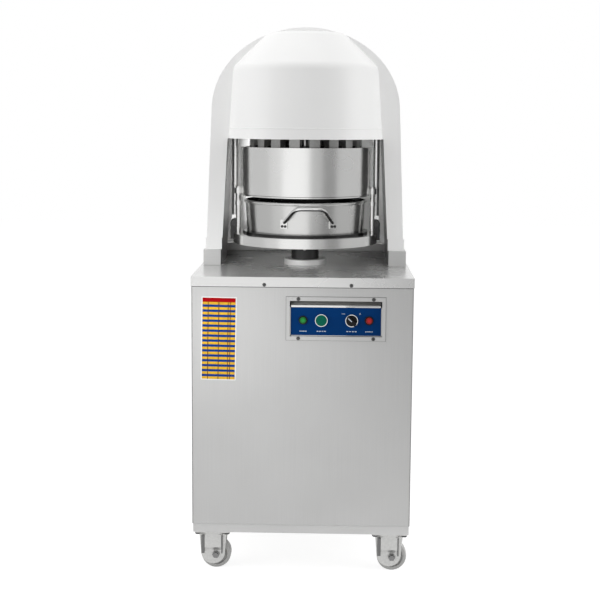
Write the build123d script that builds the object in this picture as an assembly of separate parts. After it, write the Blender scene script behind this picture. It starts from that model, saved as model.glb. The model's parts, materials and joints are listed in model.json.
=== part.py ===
"""Electric dough divider: a cabinet on casters, and a press head under a dome hood over a round pan.

Millimetres. X points right, Y to the back and Z up. The origin is on the floor, under the press axis.
"""
import os
from math import asin, cos, degrees, radians, sin, sqrt

from build123d import *

# Cabinet
cabinet_width = 520.0
cabinet_depth = 540.0
panel_height = 575.3
panel_sheet = 2.0
base_height = 21.7
base_inset = 1.5
base_tube = 34.0
corner_plate_size = 100.0
corner_plate_thickness = 6.0
floor_sheet = 3.0
top_lip_height = 23.0
top_lip_overhang = 1.5
top_sheet = 3.0

# Casters
caster_inset_x = 46.0
caster_inset_y = 53.0
caster_trail = 7.0
wheel_diameter = 72.0
wheel_width = 28.0
wheel_edge_round = 5.0
wheel_hub_radius = 15.0
wheel_rim_inner_radius = 27.0
wheel_recess = 4.0
caster_plate_size = 88.0
caster_plate_thickness = 5.0
caster_plate_chamfer = 5.0
kingpin_radius = 7.0
swivel_head_radius = 28.0
swivel_head_height = 12.0
swivel_gap = 0.3
fork_sheet = 3.0
fork_side_gap = 1.5
fork_crown_gap = 12.0
fork_crown_length = 66.0
fork_end_radius = 29.0
fork_end_rise = 5.0
fork_rib_width = 40.0
fork_rib_height = 5.0
fork_rib_rise = 11.0
fork_rib_slope = 8.0
axle_radius = 6.0
axle_hex_radius = 9.0
axle_hex_height = 6.0
axle_stub = 3.0
caster_bolt_radius = 4.0
caster_bolt_spacing = 70.0
caster_bolt_hex_radius = 7.0
caster_bolt_hex_height = 5.0

# Control window, box and panel in the front panel
window_x = 79.0
window_drop = 74.3
window_width = 216.0
window_height = 84.0
bezel_border_x = 8.5
bezel_border_z = 9.5
bezel_sheet = 2.0
bezel_screw_inset = 28.5
control_box_side_gap = 2.0
control_box_height = 66.0
control_box_depth = 82.0
control_box_sheet = 1.5
control_box_flange = 14.0
control_box_floor_gap = 2.0
control_panel_sheet = 2.0
control_row_rise = 3.0
control_recess = 4.0

# Lamps, start button and selector knob
run_lamp_shift = -77.0
start_button_shift = -34.0
selector_shift = 37.0
stop_lamp_shift = 78.0
lamp_bezel_radius = 10.5
lamp_bezel_height = 3.0
lamp_shank_radius = 7.0
lamp_shank_length = 22.0
lamp_lens_radius = 8.0
lamp_lens_seat = 1.5
lamp_lens_height = 4.0
lamp_lens_round = 2.0
button_bezel_radius = 15.0
button_bezel_height = 6.0
button_shank_radius = 11.0
button_shank_length = 26.0
button_cap_radius = 12.5
button_cap_thickness = 4.5
button_cap_round = 1.5
button_cap_gap = 0.3
button_pocket_floor = 0.5
button_stem_radius = 6.0
button_stem_length = 28.0
start_button_travel = 3.2
knob_height = 14.0
knob_grip_width = 8.0
knob_skirt_height = 5.0
knob_pocket_gap = 0.5
selector_rest_angle = 45.0

# Screws
screw_head_radius = 3.5
screw_head_height = 2.0
screw_shank_radius = 2.0
screw_length = 9.0
lip_screw_xs = (-89.0, 114.5)
lip_screw_rise = 5.0
rear_screw_inset = 20.0

# Cable gland in the rear panel
gland_x = 150.0
gland_rise = 105.0
gland_bore_radius = 6.0
gland_thread_radius = 11.0
gland_flange_radius = 16.0
gland_outside = 16.0
gland_flange_thickness = 8.0
gland_inside = 14.0
gland_nut_thickness = 6.0

# Alcove columns behind the white cover
column_cover_gap = 23.0
column_rod_gap = 6.0
column_lean = 17.0
column_thickness = 10.0
column_depth = 156.0

# White covers, with a flat front and a round back
cover_sheet = 3.0
cover_front_y = -58.0
cover_rear_inset = 6.0
plinth_height = 40.0
plinth_inset = 5.0
plinth_front_y = -62.0
plinth_sheet = 2.0
plinth_side_ledge = 32.0
plinth_column_gap = 1.0
cover_base_height = 29.0
cover_base_inset = 10.0
cover_base_sheet = 2.0
cover_foot_inset = 13.0
cover_lean = 10.0
arch_lean = 3.0
arch_spring_rise = 70.0
arch_crown_rise = 203.0
visor_inset = 37.0
visor_lean = 12.0
visor_cap_step = 80.0
visor_crease_height = 177.0
visor_cap_height = 261.0
visor_crown_height = 267.0
visor_crease_round = 30.0
visor_cap_round = 25.0

# Pedestal and platform
pedestal_flange_radius = 53.0
pedestal_flange_height = 13.0
pedestal_radius = 35.0
platform_clear_height = 56.0
platform_edge = 4.0
platform_rim_height = 24.0
platform_rim_wall = 5.0
platform_plate = 8.0
platform_hub_radius = 50.0
seat_edge = 2.5
seat_height = 6.0

# Tie rods and their lugs on the platform
tie_rod_ring_gap = 7.5
tie_rod_radius = 8.0
tie_tongue_thickness = 11.0
tie_tongue_overlap = 20.0
tie_pin_radius = 5.0
tie_pin_head_radius = 8.0
tie_pin_head_height = 3.0
tie_pin_height = 24.0
lug_ear_thickness = 7.0
lug_ear_radius = 11.0
lug_ear_gap = 0.5
lug_drop = 18.0

# Guide posts of the press ring
post_ring_gap = 1.0
post_y = -23.0
post_radius = 6.0
post_collar_radius = 8.0
post_collar_height = 10.0
post_collar_drop = 5.0
post_rise = 4.0

# Pan
pan_taper = 4.0
pan_rim_radius = 4.0
pan_height = 79.0
pan_wall = 2.0
pan_floor = 3.0
pan_turn = 4.4
handle_half_span = 59.0
handle_foot_height = 31.0
handle_reach = 57.0
handle_top_half = 34.0
handle_tilt = 52.0
handle_bend_radius = 22.0
handle_rod_radius = 4.5
handle_pad_width = 18.0
handle_pad_height = 22.0
handle_pad_thickness = 4.0
handle_pad_drop = 4.0
rivet_radius = 2.0
rivet_head_radius = 3.2
rivet_head_height = 1.6
rivet_spacing = 8.0
rivet_drop = 9.5

# Press ring
ring_wall = 10.0
ring_rim_offset = 1.5
ring_height = 117.7
ring_pan_gap = 15.0
ring_hood_gap = 21.0
ring_groove_height = 6.0
ring_groove_width = 1.6
ring_groove_depth = 1.0
ring_lug_radius = 10.0
ring_lug_height = 14.0

# Plungers, knives and their carriers
plunger_pan_gap = 4.5
piece_counts = (6, 12, 18)
knife_channel = 6.0
knife_thickness = 2.5
head_recess = 7.0
plunger_block_height = 107.0
plunger_stalk_height = 44.0
stalk_widths = (16.0, 20.0, 26.0)
stalk_depths = (18.0, 22.0, 28.0)
plunger_hub_radius = 9.0
plunger_carrier_edge = 2.0
plunger_carrier_thickness = 12.0
knife_height = 115.0
knife_rod_radius = 5.0
knife_rod_clearance = 1.5
knife_carrier_edge = 20.0
knife_carrier_thickness = 12.0
carrier_gap = 20.0

# Crosshead, cylinder and ram
crosshead_depth = 115.0
crosshead_thickness = 25.0
cylinder_radius = 36.0
cylinder_bore_radius = 27.5
cylinder_below = 42.0
cylinder_above = 106.0
cylinder_end_wall = 14.0
cylinder_flange_radius = 55.0
cylinder_flange_thickness = 15.0
cylinder_port_radius = 10.0
cylinder_port_reach = 46.0
ram_radius = 18.0
ram_clear_length = 18.0
ram_spigot_radius = 10.0
piston_thickness = 20.0
piston_top_gap = 6.0

# Power pack in the cabinet
tank_width = 380.0
tank_depth = 190.0
tank_height = 200.0
tank_rear_gap = 20.0
tank_sheet = 3.0
motor_x = -70.0
motor_radius = 75.0
motor_length = 200.0
motor_cowl_radius = 68.0
motor_cowl_height = 40.0
motor_flange_radius = 85.0
motor_flange_thickness = 14.0
pump_radius = 40.0
pump_length = 110.0
pipe_radius = 5.0
pipe_bend_radius = 25.0
pipe_rear_gap = 45.0
pipe_crosshead_gap = 25.0
pipe_hole_clearance = 2.0
pipe_cross_drop = 20.0

# Shared fits
running_clearance = 0.05
seat_clearance = 0.2

# Levels, from the floor up
fork_crown_z = wheel_diameter + fork_crown_gap
swivel_head_z = fork_crown_z + fork_sheet
caster_plate_z = swivel_head_z + swivel_head_height + swivel_gap
base_z = caster_plate_z + caster_plate_thickness
panel_z = base_z + base_height
floor_top_z = panel_z + floor_sheet
lip_z = panel_z + panel_height
table_z = lip_z + top_lip_height
cover_base_z = table_z + plinth_height
cover_z = cover_base_z + cover_base_height
platform_z = table_z + platform_clear_height
platform_top_z = platform_z + platform_rim_height
seat_z = platform_top_z + seat_height
pan_rim_z = seat_z + pan_height
ring_z = pan_rim_z + ring_pan_gap
ring_top_z = ring_z + ring_height
hood_z = ring_top_z + ring_hood_gap
arch_spring_z = hood_z + arch_spring_rise
head_z = ring_z + head_recess
stalk_z = head_z + plunger_block_height
plunger_carrier_z = stalk_z + plunger_stalk_height
knife_carrier_z = plunger_carrier_z + plunger_carrier_thickness + carrier_gap
ram_z = knife_carrier_z + knife_carrier_thickness
cylinder_z = ram_z + ram_clear_length
crosshead_z = cylinder_z + cylinder_below
crosshead_top_z = crosshead_z + crosshead_thickness
cylinder_top_z = crosshead_top_z + cylinder_above
tank_top_z = floor_top_z + tank_height

# Places in plan
half_width = cabinet_width / 2
front_y = -cabinet_depth / 2
rear_y = cabinet_depth / 2
caster_x = half_width - caster_inset_x
caster_y = rear_y - caster_inset_y
tank_y = rear_y - tank_rear_gap - tank_depth / 2
pipe_drop_y = rear_y - pipe_rear_gap

# Covers in plan
plinth_half = half_width - plinth_inset
cover_foot_half = half_width - cover_foot_inset
cover_base_half = half_width - cover_base_inset
cover_top_half = cover_foot_half - cover_lean
arch_spring_half = cover_top_half - arch_lean
cover_back_centre_y = rear_y - cover_rear_inset - cover_foot_half
hood_back_y = cover_back_centre_y + cover_top_half
visor_foot_radius = cover_top_half - visor_inset
visor_crease_radius = visor_foot_radius - visor_lean
visor_cap_radius = visor_crease_radius - visor_cap_step

# Press frame in plan, from the covers in to the pan
column_foot_half = cover_foot_half - cover_sheet - column_cover_gap - column_thickness
column_hood_half = column_foot_half - column_lean
column_bend_half = column_foot_half - column_lean * (arch_spring_z - table_z) / (hood_z - table_z)
column_front_y = cover_front_y + cover_sheet
crosshead_half_length = column_bend_half + column_thickness
crosshead_back_y = column_front_y + crosshead_depth
pipe_front_y = crosshead_back_y + pipe_crosshead_gap
tie_rod_x = column_hood_half - column_rod_gap - tie_rod_radius
platform_radius = tie_rod_x + platform_edge
ring_outer_radius = tie_rod_x - tie_rod_radius - tie_rod_ring_gap
ring_inner_radius = ring_outer_radius - ring_wall
post_x = sqrt((ring_outer_radius + post_radius + post_ring_gap) ** 2 - post_y**2)
pan_rim_centre_radius = ring_inner_radius - ring_rim_offset
pan_floor_radius = pan_rim_centre_radius - pan_taper
seat_radius = pan_rim_centre_radius + pan_rim_radius + seat_edge

# Plungers and knives in plan
plunger_radius = pan_floor_radius - pan_wall - plunger_pan_gap
inside_counts = [sum(piece_counts[: i + 1]) for i in range(len(piece_counts))]
row_radii = [plunger_radius * sqrt(inside / sum(piece_counts)) for inside in inside_counts]
knife_rod_places = [
    (row_radii[1] * cos(radians(a)), row_radii[1] * sin(radians(a))) for a in range(-90, 270, 60)
]
plunger_carrier_radius = plunger_radius + plunger_carrier_edge
knife_carrier_radius = row_radii[1] + knife_rod_radius + knife_carrier_edge

# Controls
window_z = lip_z - window_drop
gland_z = floor_top_z + gland_rise
control_box_width = window_width - 2 * control_box_side_gap
control_box_z = window_z - window_height / 2 + control_box_floor_gap
control_face_y = front_y + control_recess
control_back_y = control_face_y + control_panel_sheet
control_z = control_box_z + control_box_height / 2 + control_row_rise
run_lamp_x = window_x + run_lamp_shift
start_button_x = window_x + start_button_shift
selector_x = window_x + selector_shift
stop_lamp_x = window_x + stop_lamp_shift
ALL_MIN = (Align.MIN, Align.MIN, Align.MIN)
STAND = (Align.CENTER, Align.CENTER, Align.MIN)


# Shape helpers
def block(x, y, z):
    """Block between the low and high ends given for each axis."""
    size = (x[1] - x[0], y[1] - y[0], z[1] - z[0])
    return Pos(x[0], y[0], z[0]) * Box(*size, align=ALL_MIN)


def upright(radius, x, y, z0, z1):
    """Round bar along Z."""
    return Pos(x, y, z0) * Cylinder(radius, z1 - z0, align=STAND)


def lengthwise(radius, x, z, y0, y1):
    """Round bar along Y, from y0 back to y1."""
    return Pos(x, y0, z) * Rot(-90, 0, 0) * Cylinder(radius, y1 - y0, align=STAND)


def hex_lengthwise(radius, x, z, y0, y1):
    """Hexagonal bar along Y, from y0 back to y1."""
    return Pos(x, y0, z) * Rot(-90, 0, 0) * extrude(RegularPolygon(radius, 6), y1 - y0)


def turned(points):
    """Solid of revolution about the press axis, from an outline of (radius, height) points."""
    return revolve(Plane.XZ * make_face(Polyline(*points, close=True)), Axis.Z)


def upright_outline(edges):
    """Face in the XZ plane from a closed run of (x, z) edges."""
    return Plane.XZ * make_face(edges)


def round_backed(outline, front):
    """Body with a flat front and a half-round back, from an outline that is symmetric about X = 0."""
    outline = Pos(0, cover_back_centre_y, 0) * outline
    box = outline.bounding_box()
    depth = cover_back_centre_y - front
    height = box.max.Z - box.min.Z
    right = Plane.XZ * Pos(0, box.min.Z) * Rectangle(box.max.X, height, align=(Align.MIN, Align.MIN))
    right = Pos(0, cover_back_centre_y, 0) * right
    straight = extrude(outline, depth)
    back = revolve(outline & right, Axis((0, cover_back_centre_y, 0), (0, 0, 1)), 180)
    return straight + back


def tapered_wall(foot_half, top_half, z0, z1, front):
    """Round-backed block whose half width runs from foot_half to top_half."""
    edges = Polyline((-foot_half, z0), (foot_half, z0), (top_half, z1), (-top_half, z1), close=True)
    return round_backed(upright_outline(edges), front)


def group(solids):
    """Separate solids that share one node."""
    return Compound(list(solids))


# Cabinet
def make_base_frame():
    """Square-tube ring with a plate in each corner for the casters."""
    half_x = half_width - base_inset
    half_y = rear_y - base_inset
    frame = block((-half_x, half_x), (-half_y, half_y), (base_z, panel_z))
    inner_x = half_x - base_tube
    inner_y = half_y - base_tube
    frame -= block((-inner_x, inner_x), (-inner_y, inner_y), (base_z, panel_z))
    for side_x in (-1, 1):
        for side_y in (-1, 1):
            xs = sorted((side_x * half_x, side_x * (half_x - corner_plate_size)))
            ys = sorted((side_y * half_y, side_y * (half_y - corner_plate_size)))
            frame += block(xs, ys, (base_z, base_z + corner_plate_thickness))
    for x, y in caster_bolt_places():
        frame -= upright(caster_bolt_radius + seat_clearance, x, y, base_z, panel_z)
    return frame


def make_floor_plate():
    """Sheet that lies on the base frame between the panels."""
    half_x = half_width - panel_sheet
    half_y = rear_y - panel_sheet
    return block((-half_x, half_x), (-half_y, half_y), (panel_z, floor_top_z))


def bezel_screw_places():
    """Centres (x, z) of the four bezel screws."""
    half_x = window_width / 2 + bezel_border_x - bezel_screw_inset
    half_z = window_height / 2 + bezel_border_z / 2
    return [(window_x + i * half_x, window_z + j * half_z) for i in (-1, 1) for j in (-1, 1)]


def rear_screw_places():
    """Centres (x, z) of the four rear panel screws."""
    xs = (-half_width + rear_screw_inset, half_width - rear_screw_inset)
    zs = (panel_z + rear_screw_inset, lip_z - rear_screw_inset)
    return [(x, z) for x in xs for z in zs]


def make_front_panel():
    """Front sheet with the control window and the bezel screw holes."""
    panel = block((-half_width, half_width), (front_y, front_y + panel_sheet), (panel_z, lip_z))
    panel -= window_block(front_y, front_y + panel_sheet)
    for x, z in bezel_screw_places():
        panel -= lengthwise(screw_shank_radius + seat_clearance, x, z, front_y, front_y + panel_sheet)
    return panel


def window_block(y0, y1):
    """Block that fills the control window between two depths."""
    xs = (window_x - window_width / 2, window_x + window_width / 2)
    zs = (window_z - window_height / 2, window_z + window_height / 2)
    return block(xs, (y0, y1), zs)


def make_rear_panel():
    """Rear sheet with the gland hole and screw holes."""
    inner_y = rear_y - panel_sheet
    panel = block((-half_width, half_width), (inner_y, rear_y), (panel_z, lip_z))
    panel -= lengthwise(gland_thread_radius + seat_clearance, gland_x, gland_z, inner_y, rear_y)
    for x, z in rear_screw_places():
        panel -= lengthwise(screw_shank_radius + seat_clearance, x, z, inner_y, rear_y)
    return panel


def make_side_panel(side):
    """Left (side -1) or right (side 1) sheet, between the front and rear panels."""
    xs = sorted((side * half_width, side * (half_width - panel_sheet)))
    return block(xs, (front_y + panel_sheet, rear_y - panel_sheet), (panel_z, lip_z))


def make_top_plate():
    """Folded tray whose lip stands on the panels, with a hole for the pressure pipe."""
    half_x = half_width + top_lip_overhang
    half_y = rear_y + top_lip_overhang
    plate = block((-half_x, half_x), (-half_y, half_y), (lip_z, table_z))
    inner_x = half_width - panel_sheet
    inner_y = rear_y - panel_sheet
    plate -= block((-inner_x, inner_x), (-inner_y, inner_y), (lip_z, table_z - top_sheet))
    plate -= upright(pipe_radius + pipe_hole_clearance, 0, pipe_drop_y, lip_z, table_z)
    screw_z = lip_z + lip_screw_rise
    for x in lip_screw_xs:
        plate -= lengthwise(screw_shank_radius + seat_clearance, x, screw_z, -half_y, -inner_y)
    return plate


def make_screw(x, z, face_y, facing):
    """Domed screw along Y. Its head sits on face_y and faces the front (-1) or the back (1)."""
    head = Sphere(screw_head_radius) & block(
        (-screw_head_radius, screw_head_radius),
        (-screw_head_radius, screw_head_radius),
        (0, screw_head_height),
    )
    shank = upright(screw_shank_radius, 0, 0, -screw_length, 0)
    screw = head + shank
    turn = 90 if facing < 0 else -90
    return Pos(x, face_y, z) * Rot(turn, 0, 0) * screw


def make_panel_screws():
    """Screws of the bezel, the top lip and the rear panel."""
    bezel_face = front_y - bezel_sheet
    lip_face = front_y - top_lip_overhang
    screws = [make_screw(x, z, bezel_face, -1) for x, z in bezel_screw_places()]
    screws += [make_screw(x, lip_z + lip_screw_rise, lip_face, -1) for x in lip_screw_xs]
    screws += [make_screw(x, z, rear_y, 1) for x, z in rear_screw_places()]
    return group(screws)


def make_cable_gland():
    """Threaded gland through the rear panel, with its nut inside and a clear bore for a lead."""
    inner_y = rear_y - panel_sheet
    outer_y = rear_y + gland_outside
    gland = lengthwise(gland_thread_radius, gland_x, gland_z, inner_y - gland_inside, outer_y)
    gland += hex_lengthwise(gland_flange_radius, gland_x, gland_z, rear_y, rear_y + gland_flange_thickness)
    gland += hex_lengthwise(gland_flange_radius, gland_x, gland_z, inner_y - gland_nut_thickness, inner_y)
    return gland - lengthwise(gland_bore_radius, gland_x, gland_z, inner_y - gland_inside, outer_y)


# Controls
def make_control_bezel():
    """Flat frame around the control window."""
    half_x = window_width / 2 + bezel_border_x
    half_z = window_height / 2 + bezel_border_z
    xs = (window_x - half_x, window_x + half_x)
    zs = (window_z - half_z, window_z + half_z)
    bezel = block(xs, (front_y - bezel_sheet, front_y), zs)
    bezel -= window_block(front_y - bezel_sheet, front_y)
    for x, z in bezel_screw_places():
        bezel -= lengthwise(screw_shank_radius + seat_clearance, x, z, front_y - bezel_sheet, front_y)
    return bezel


def control_box_span():
    """X ends of the control box."""
    return window_x - control_box_width / 2, window_x + control_box_width / 2


def make_control_box():
    """Open-fronted box behind the blue panel, held by flanges behind the front panel."""
    x0, x1 = control_box_span()
    z0, z1 = control_box_z, control_box_z + control_box_height
    y1 = control_back_y + control_box_depth
    sheet = control_box_sheet
    box = block((x0, x1), (control_back_y, y1), (z0, z1))
    box -= block((x0 + sheet, x1 - sheet), (control_back_y, y1 - sheet), (z0 + sheet, z1 - sheet))
    flange_y = (front_y + panel_sheet, control_back_y + sheet)
    box += block((x0 - control_box_flange, x0), flange_y, (z0, z1))
    return box + block((x1, x1 + control_box_flange), flange_y, (z0, z1))


def make_control_panel():
    """Blue panel on the front of the control box."""
    x0, x1 = control_box_span()
    zs = (control_box_z, control_box_z + control_box_height)
    panel = block((x0, x1), (control_face_y, control_back_y), zs)
    for x in (run_lamp_x, stop_lamp_x):
        hole = lamp_shank_radius + seat_clearance
        panel -= lengthwise(hole, x, control_z, control_face_y, control_back_y)
    for x in (start_button_x, selector_x):
        hole = button_shank_radius + seat_clearance
        panel -= lengthwise(hole, x, control_z, control_face_y, control_back_y)
    return panel


def make_lamp_bezel(x):
    """Dark lamp ring with a shank through the panel and a seat for the lens."""
    front = control_face_y - lamp_bezel_height
    bezel = lengthwise(lamp_bezel_radius, x, control_z, front, control_face_y)
    bezel += lengthwise(lamp_shank_radius, x, control_z, control_face_y, control_face_y + lamp_shank_length)
    pocket = lamp_lens_radius + running_clearance
    return bezel - lengthwise(pocket, x, control_z, front, front + lamp_lens_seat)


def make_lamp_lens(x):
    """Domed lens that stands in the lamp ring."""
    seat = control_face_y - lamp_bezel_height + lamp_lens_seat
    lens = lengthwise(lamp_lens_radius, x, control_z, seat - lamp_lens_height, seat)
    front_edge = lens.edges().filter_by(GeomType.CIRCLE).sort_by(Axis.Y)[0]
    return fillet(front_edge, lamp_lens_round)


def make_button_bezel(x):
    """Bright ring with a pocket for a cap and a shank that guides its stem."""
    front = control_face_y - button_bezel_height
    back = control_face_y + button_shank_length
    bezel = lengthwise(button_bezel_radius, x, control_z, front, control_face_y)
    bezel += lengthwise(button_shank_radius, x, control_z, control_face_y, back)
    pocket = button_cap_radius + button_cap_gap
    bezel -= lengthwise(pocket, x, control_z, front, control_face_y - button_pocket_floor)
    return bezel - lengthwise(button_stem_radius + running_clearance, x, control_z, front, back)


def make_start_button():
    """Domed cap on a stem that slides in its bezel."""
    back = control_face_y - button_pocket_floor - button_cap_gap - start_button_travel
    cap = lengthwise(button_cap_radius, start_button_x, control_z, back - button_cap_thickness, back)
    front_edge = cap.edges().filter_by(GeomType.CIRCLE).sort_by(Axis.Y)[0]
    cap = fillet(front_edge, button_cap_round)
    return cap + lengthwise(button_stem_radius, start_button_x, control_z, back, back + button_stem_length)


def make_selector_knob():
    """Knob with a raised grip across it, on a stem that turns in its bezel."""
    back = control_face_y - button_pocket_floor - knob_pocket_gap
    skirt = back - knob_skirt_height
    face = back - knob_skirt_height - knob_height
    knob = lengthwise(button_cap_radius, selector_x, control_z, skirt, back)
    grip = block(
        (-knob_grip_width / 2, knob_grip_width / 2),
        (face, skirt),
        (-button_cap_radius, button_cap_radius),
    )
    grip &= lengthwise(button_cap_radius, 0, 0, face, skirt)
    knob += Pos(selector_x, 0, control_z) * Rot(0, -selector_rest_angle, 0) * grip
    return knob + lengthwise(button_stem_radius, selector_x, control_z, back, back + button_stem_length)


# Casters
CASTERS = {
    "front_left": (-1, -1),
    "front_right": (1, -1),
    "rear_left": (-1, 1),
    "rear_right": (1, 1),
}


def caster_bolt_places():
    """Centres (x, y) of the sixteen caster bolts."""
    half = caster_bolt_spacing / 2
    places = []
    for side_x, side_y in CASTERS.values():
        for i in (-half, half):
            for j in (-half, half):
                places.append((side_x * caster_x + i, side_y * caster_y + j))
    return places


def make_caster_plate(side_x, side_y):
    """Top plate with its kingpin."""
    x, y = side_x * caster_x, side_y * caster_y
    half = caster_plate_size / 2
    plate = block((x - half, x + half), (y - half, y + half), (caster_plate_z, base_z))
    plate = chamfer(plate.edges().filter_by(Axis.Z), caster_plate_chamfer)
    plate += upright(kingpin_radius, x, y, fork_crown_z, caster_plate_z)
    for bolt_x, bolt_y in caster_bolt_places():
        plate -= upright(caster_bolt_radius + seat_clearance, bolt_x, bolt_y, caster_plate_z, base_z)
    return plate


def make_caster_bolts():
    """Hexagon bolts up through the caster plates and the corner plates."""
    top = base_z + corner_plate_thickness
    bolts = []
    for x, y in caster_bolt_places():
        head = extrude(RegularPolygon(caster_bolt_hex_radius, 6), -caster_bolt_hex_height)
        shank = upright(caster_bolt_radius, x, y, caster_plate_z, top)
        bolts.append(Pos(x, y, caster_plate_z) * head + shank)
    return group(bolts)


def fork_leg_faces():
    """Distances of a fork leg's inner face, outer face and rib from the wheel's middle plane."""
    inner = wheel_width / 2 + fork_side_gap
    outer = inner + fork_sheet
    return inner, outer, outer + fork_rib_height


def make_caster_fork(side_x, side_y):
    """Swivel head and crown with two pressed legs, each with a raised rib and a round end at the axle."""
    inner, outer, rib_face = fork_leg_faces()
    wheel_radius = wheel_diameter / 2
    half_crown = fork_crown_length / 2
    end_z = wheel_radius + fork_end_rise
    leg_edges = Polyline(
        (-fork_end_radius, end_z),
        (fork_end_radius, end_z),
        (half_crown, swivel_head_z),
        (-half_crown, swivel_head_z),
        close=True,
    )
    leg_face = make_face(leg_edges) + Pos(0, end_z) * Circle(fork_end_radius)
    leg = extrude(Plane.XZ * leg_face, fork_sheet)
    rib_z = wheel_radius + fork_rib_rise
    rib_edges = Polyline(
        (-outer, swivel_head_z),
        (-rib_face, swivel_head_z),
        (-rib_face, rib_z + fork_rib_slope),
        (-outer, rib_z),
        close=True,
    )
    rib = extrude(Plane.YZ * make_face(rib_edges), fork_rib_width / 2, both=True)
    fork = Pos(0, -inner, 0) * leg + Pos(0, outer, 0) * leg
    fork += rib
    fork += Rot(0, 0, 180) * rib
    fork += block((-half_crown, half_crown), (-outer, outer), (fork_crown_z, swivel_head_z))
    fork += upright(swivel_head_radius, 0, 0, fork_crown_z, swivel_head_z + swivel_head_height)
    fork -= upright(kingpin_radius + running_clearance, 0, 0, fork_crown_z, caster_plate_z)
    fork -= lengthwise(axle_radius + running_clearance, caster_trail, wheel_radius, -outer, outer)
    return Pos(side_x * caster_x, side_y * caster_y, 0) * fork


def make_caster_wheel(side_x, side_y):
    """Wheel with a rounded tread, recessed sides and a hub."""
    half = wheel_width / 2
    wheel_radius = wheel_diameter / 2
    wheel = lengthwise(wheel_radius, 0, 0, -half, half)
    wheel = fillet(wheel.edges().filter_by(GeomType.CIRCLE), wheel_edge_round)
    ring = extrude(Circle(wheel_rim_inner_radius) - Circle(wheel_hub_radius), wheel_recess)
    wheel -= Pos(0, -half, 0) * Rot(-90, 0, 0) * ring
    wheel -= Pos(0, half, 0) * Rot(90, 0, 0) * ring
    wheel -= lengthwise(axle_radius + running_clearance, 0, 0, -half, half)
    return Pos(side_x * caster_x + caster_trail, side_y * caster_y, wheel_radius) * wheel


def make_caster_axle(side_x, side_y):
    """Axle bolt with a hexagon at each end of the fork."""
    outer = fork_leg_faces()[1]
    hex_end = outer + axle_hex_height
    axle = lengthwise(axle_radius, 0, 0, -hex_end - axle_stub, hex_end + axle_stub)
    axle += hex_lengthwise(axle_hex_radius, 0, 0, -hex_end, -outer)
    axle += hex_lengthwise(axle_hex_radius, 0, 0, outer, hex_end)
    return Pos(side_x * caster_x + caster_trail, side_y * caster_y, wheel_diameter / 2) * axle


# Covers and hood
def column_half(z):
    """Half width of the alcove between the columns at a height below the hood."""
    share = (z - table_z) / (hood_z - table_z)
    return column_foot_half - share * column_lean


def make_rear_plinth():
    """Folded step on the top plate, open in the middle and at the front between the columns."""
    sheet = plinth_sheet
    plinth = block((-plinth_half, plinth_half), (plinth_front_y, rear_y), (table_z, cover_base_z))
    inner_x = plinth_half - sheet
    inner_y = (plinth_front_y + sheet, rear_y - sheet)
    plinth -= block((-inner_x, inner_x), inner_y, (table_z, cover_base_z - sheet))
    ledge_x = plinth_half - plinth_side_ledge
    plinth -= tapered_wall(ledge_x, ledge_x, table_z, cover_base_z, inner_y[0])
    column_x = column_foot_half + column_thickness + plinth_column_gap
    column_y = (inner_y[0], column_front_y + column_depth + plinth_column_gap)
    plinth -= block((-column_x, column_x), column_y, (table_z, cover_base_z))
    alcove = (-column_foot_half, column_foot_half)
    return plinth - block(alcove, (plinth_front_y, cover_back_centre_y), (table_z, cover_base_z))


def make_cover_base():
    """Thin band that the back cover stands on."""
    half = cover_base_half
    inner = half - cover_base_sheet
    band = tapered_wall(half, half, cover_base_z, cover_z, cover_front_y)
    band -= tapered_wall(inner, inner, cover_base_z, cover_z, cover_front_y + cover_base_sheet)
    half_mouth = column_half(cover_base_z)
    mouth = (cover_front_y, cover_front_y + cover_base_sheet)
    return band - block((-half_mouth, half_mouth), mouth, (cover_base_z, cover_z))


def make_back_cover():
    """White cover with front flanges, leaning sides and a round back."""
    cover = tapered_wall(cover_foot_half, cover_top_half, cover_z, hood_z, cover_front_y)
    inner_foot = cover_foot_half - cover_sheet
    inner_top = cover_top_half - cover_sheet
    cover -= tapered_wall(inner_foot, inner_top, cover_z, hood_z, cover_front_y + cover_sheet)
    foot, top = column_half(cover_z), column_half(hood_z)
    mouth_edges = Polyline((-foot, cover_z), (foot, cover_z), (top, hood_z), (-top, hood_z), close=True)
    mouth = extrude(Pos(0, cover_front_y + cover_sheet, 0) * upright_outline(mouth_edges), cover_sheet)
    return cover - mouth


def arch_solid(inset, front):
    """Dome behind the visor, drawn in by inset."""
    foot = cover_top_half - inset
    spring = arch_spring_half - inset
    edges = Polyline((-spring, arch_spring_z), (-foot, hood_z), (foot, hood_z), (spring, arch_spring_z))
    crown = EllipticalCenterArc((0, arch_spring_z), spring, arch_crown_rise - inset, 0, arc_size=180)
    return round_backed(upright_outline(edges + crown), front)


def visor_solid(inset):
    """Body of revolution that the visor is cut from, drawn in by inset."""
    outline = FilletPolyline(
        (0, hood_z),
        (visor_foot_radius - inset, hood_z),
        (visor_crease_radius - inset, hood_z + visor_crease_height),
        (visor_cap_radius - inset, hood_z + visor_cap_height - inset),
        (0, hood_z + visor_crown_height - inset),
        radius=(0, visor_crease_round, visor_cap_round),
    )
    axis_edge = Line((0, hood_z + visor_crown_height - inset), (0, hood_z))
    return revolve(upright_outline(outline + axis_edge), Axis.Z)


def hood_shell(depth, height):
    """Dome shell with a front wall that the visor closes, kept within a span of depth and of height."""
    wall_y = (cover_front_y, cover_front_y + cover_sheet)
    reach = (-visor_foot_radius, visor_foot_radius)
    mouth = visor_solid(cover_sheet) & block(reach, wall_y, (hood_z, hood_z + visor_crown_height))
    shell = arch_solid(0, wall_y[0]) - arch_solid(cover_sheet, wall_y[1]) - mouth
    return shell & block((-cover_top_half, cover_top_half), depth, height)


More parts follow.
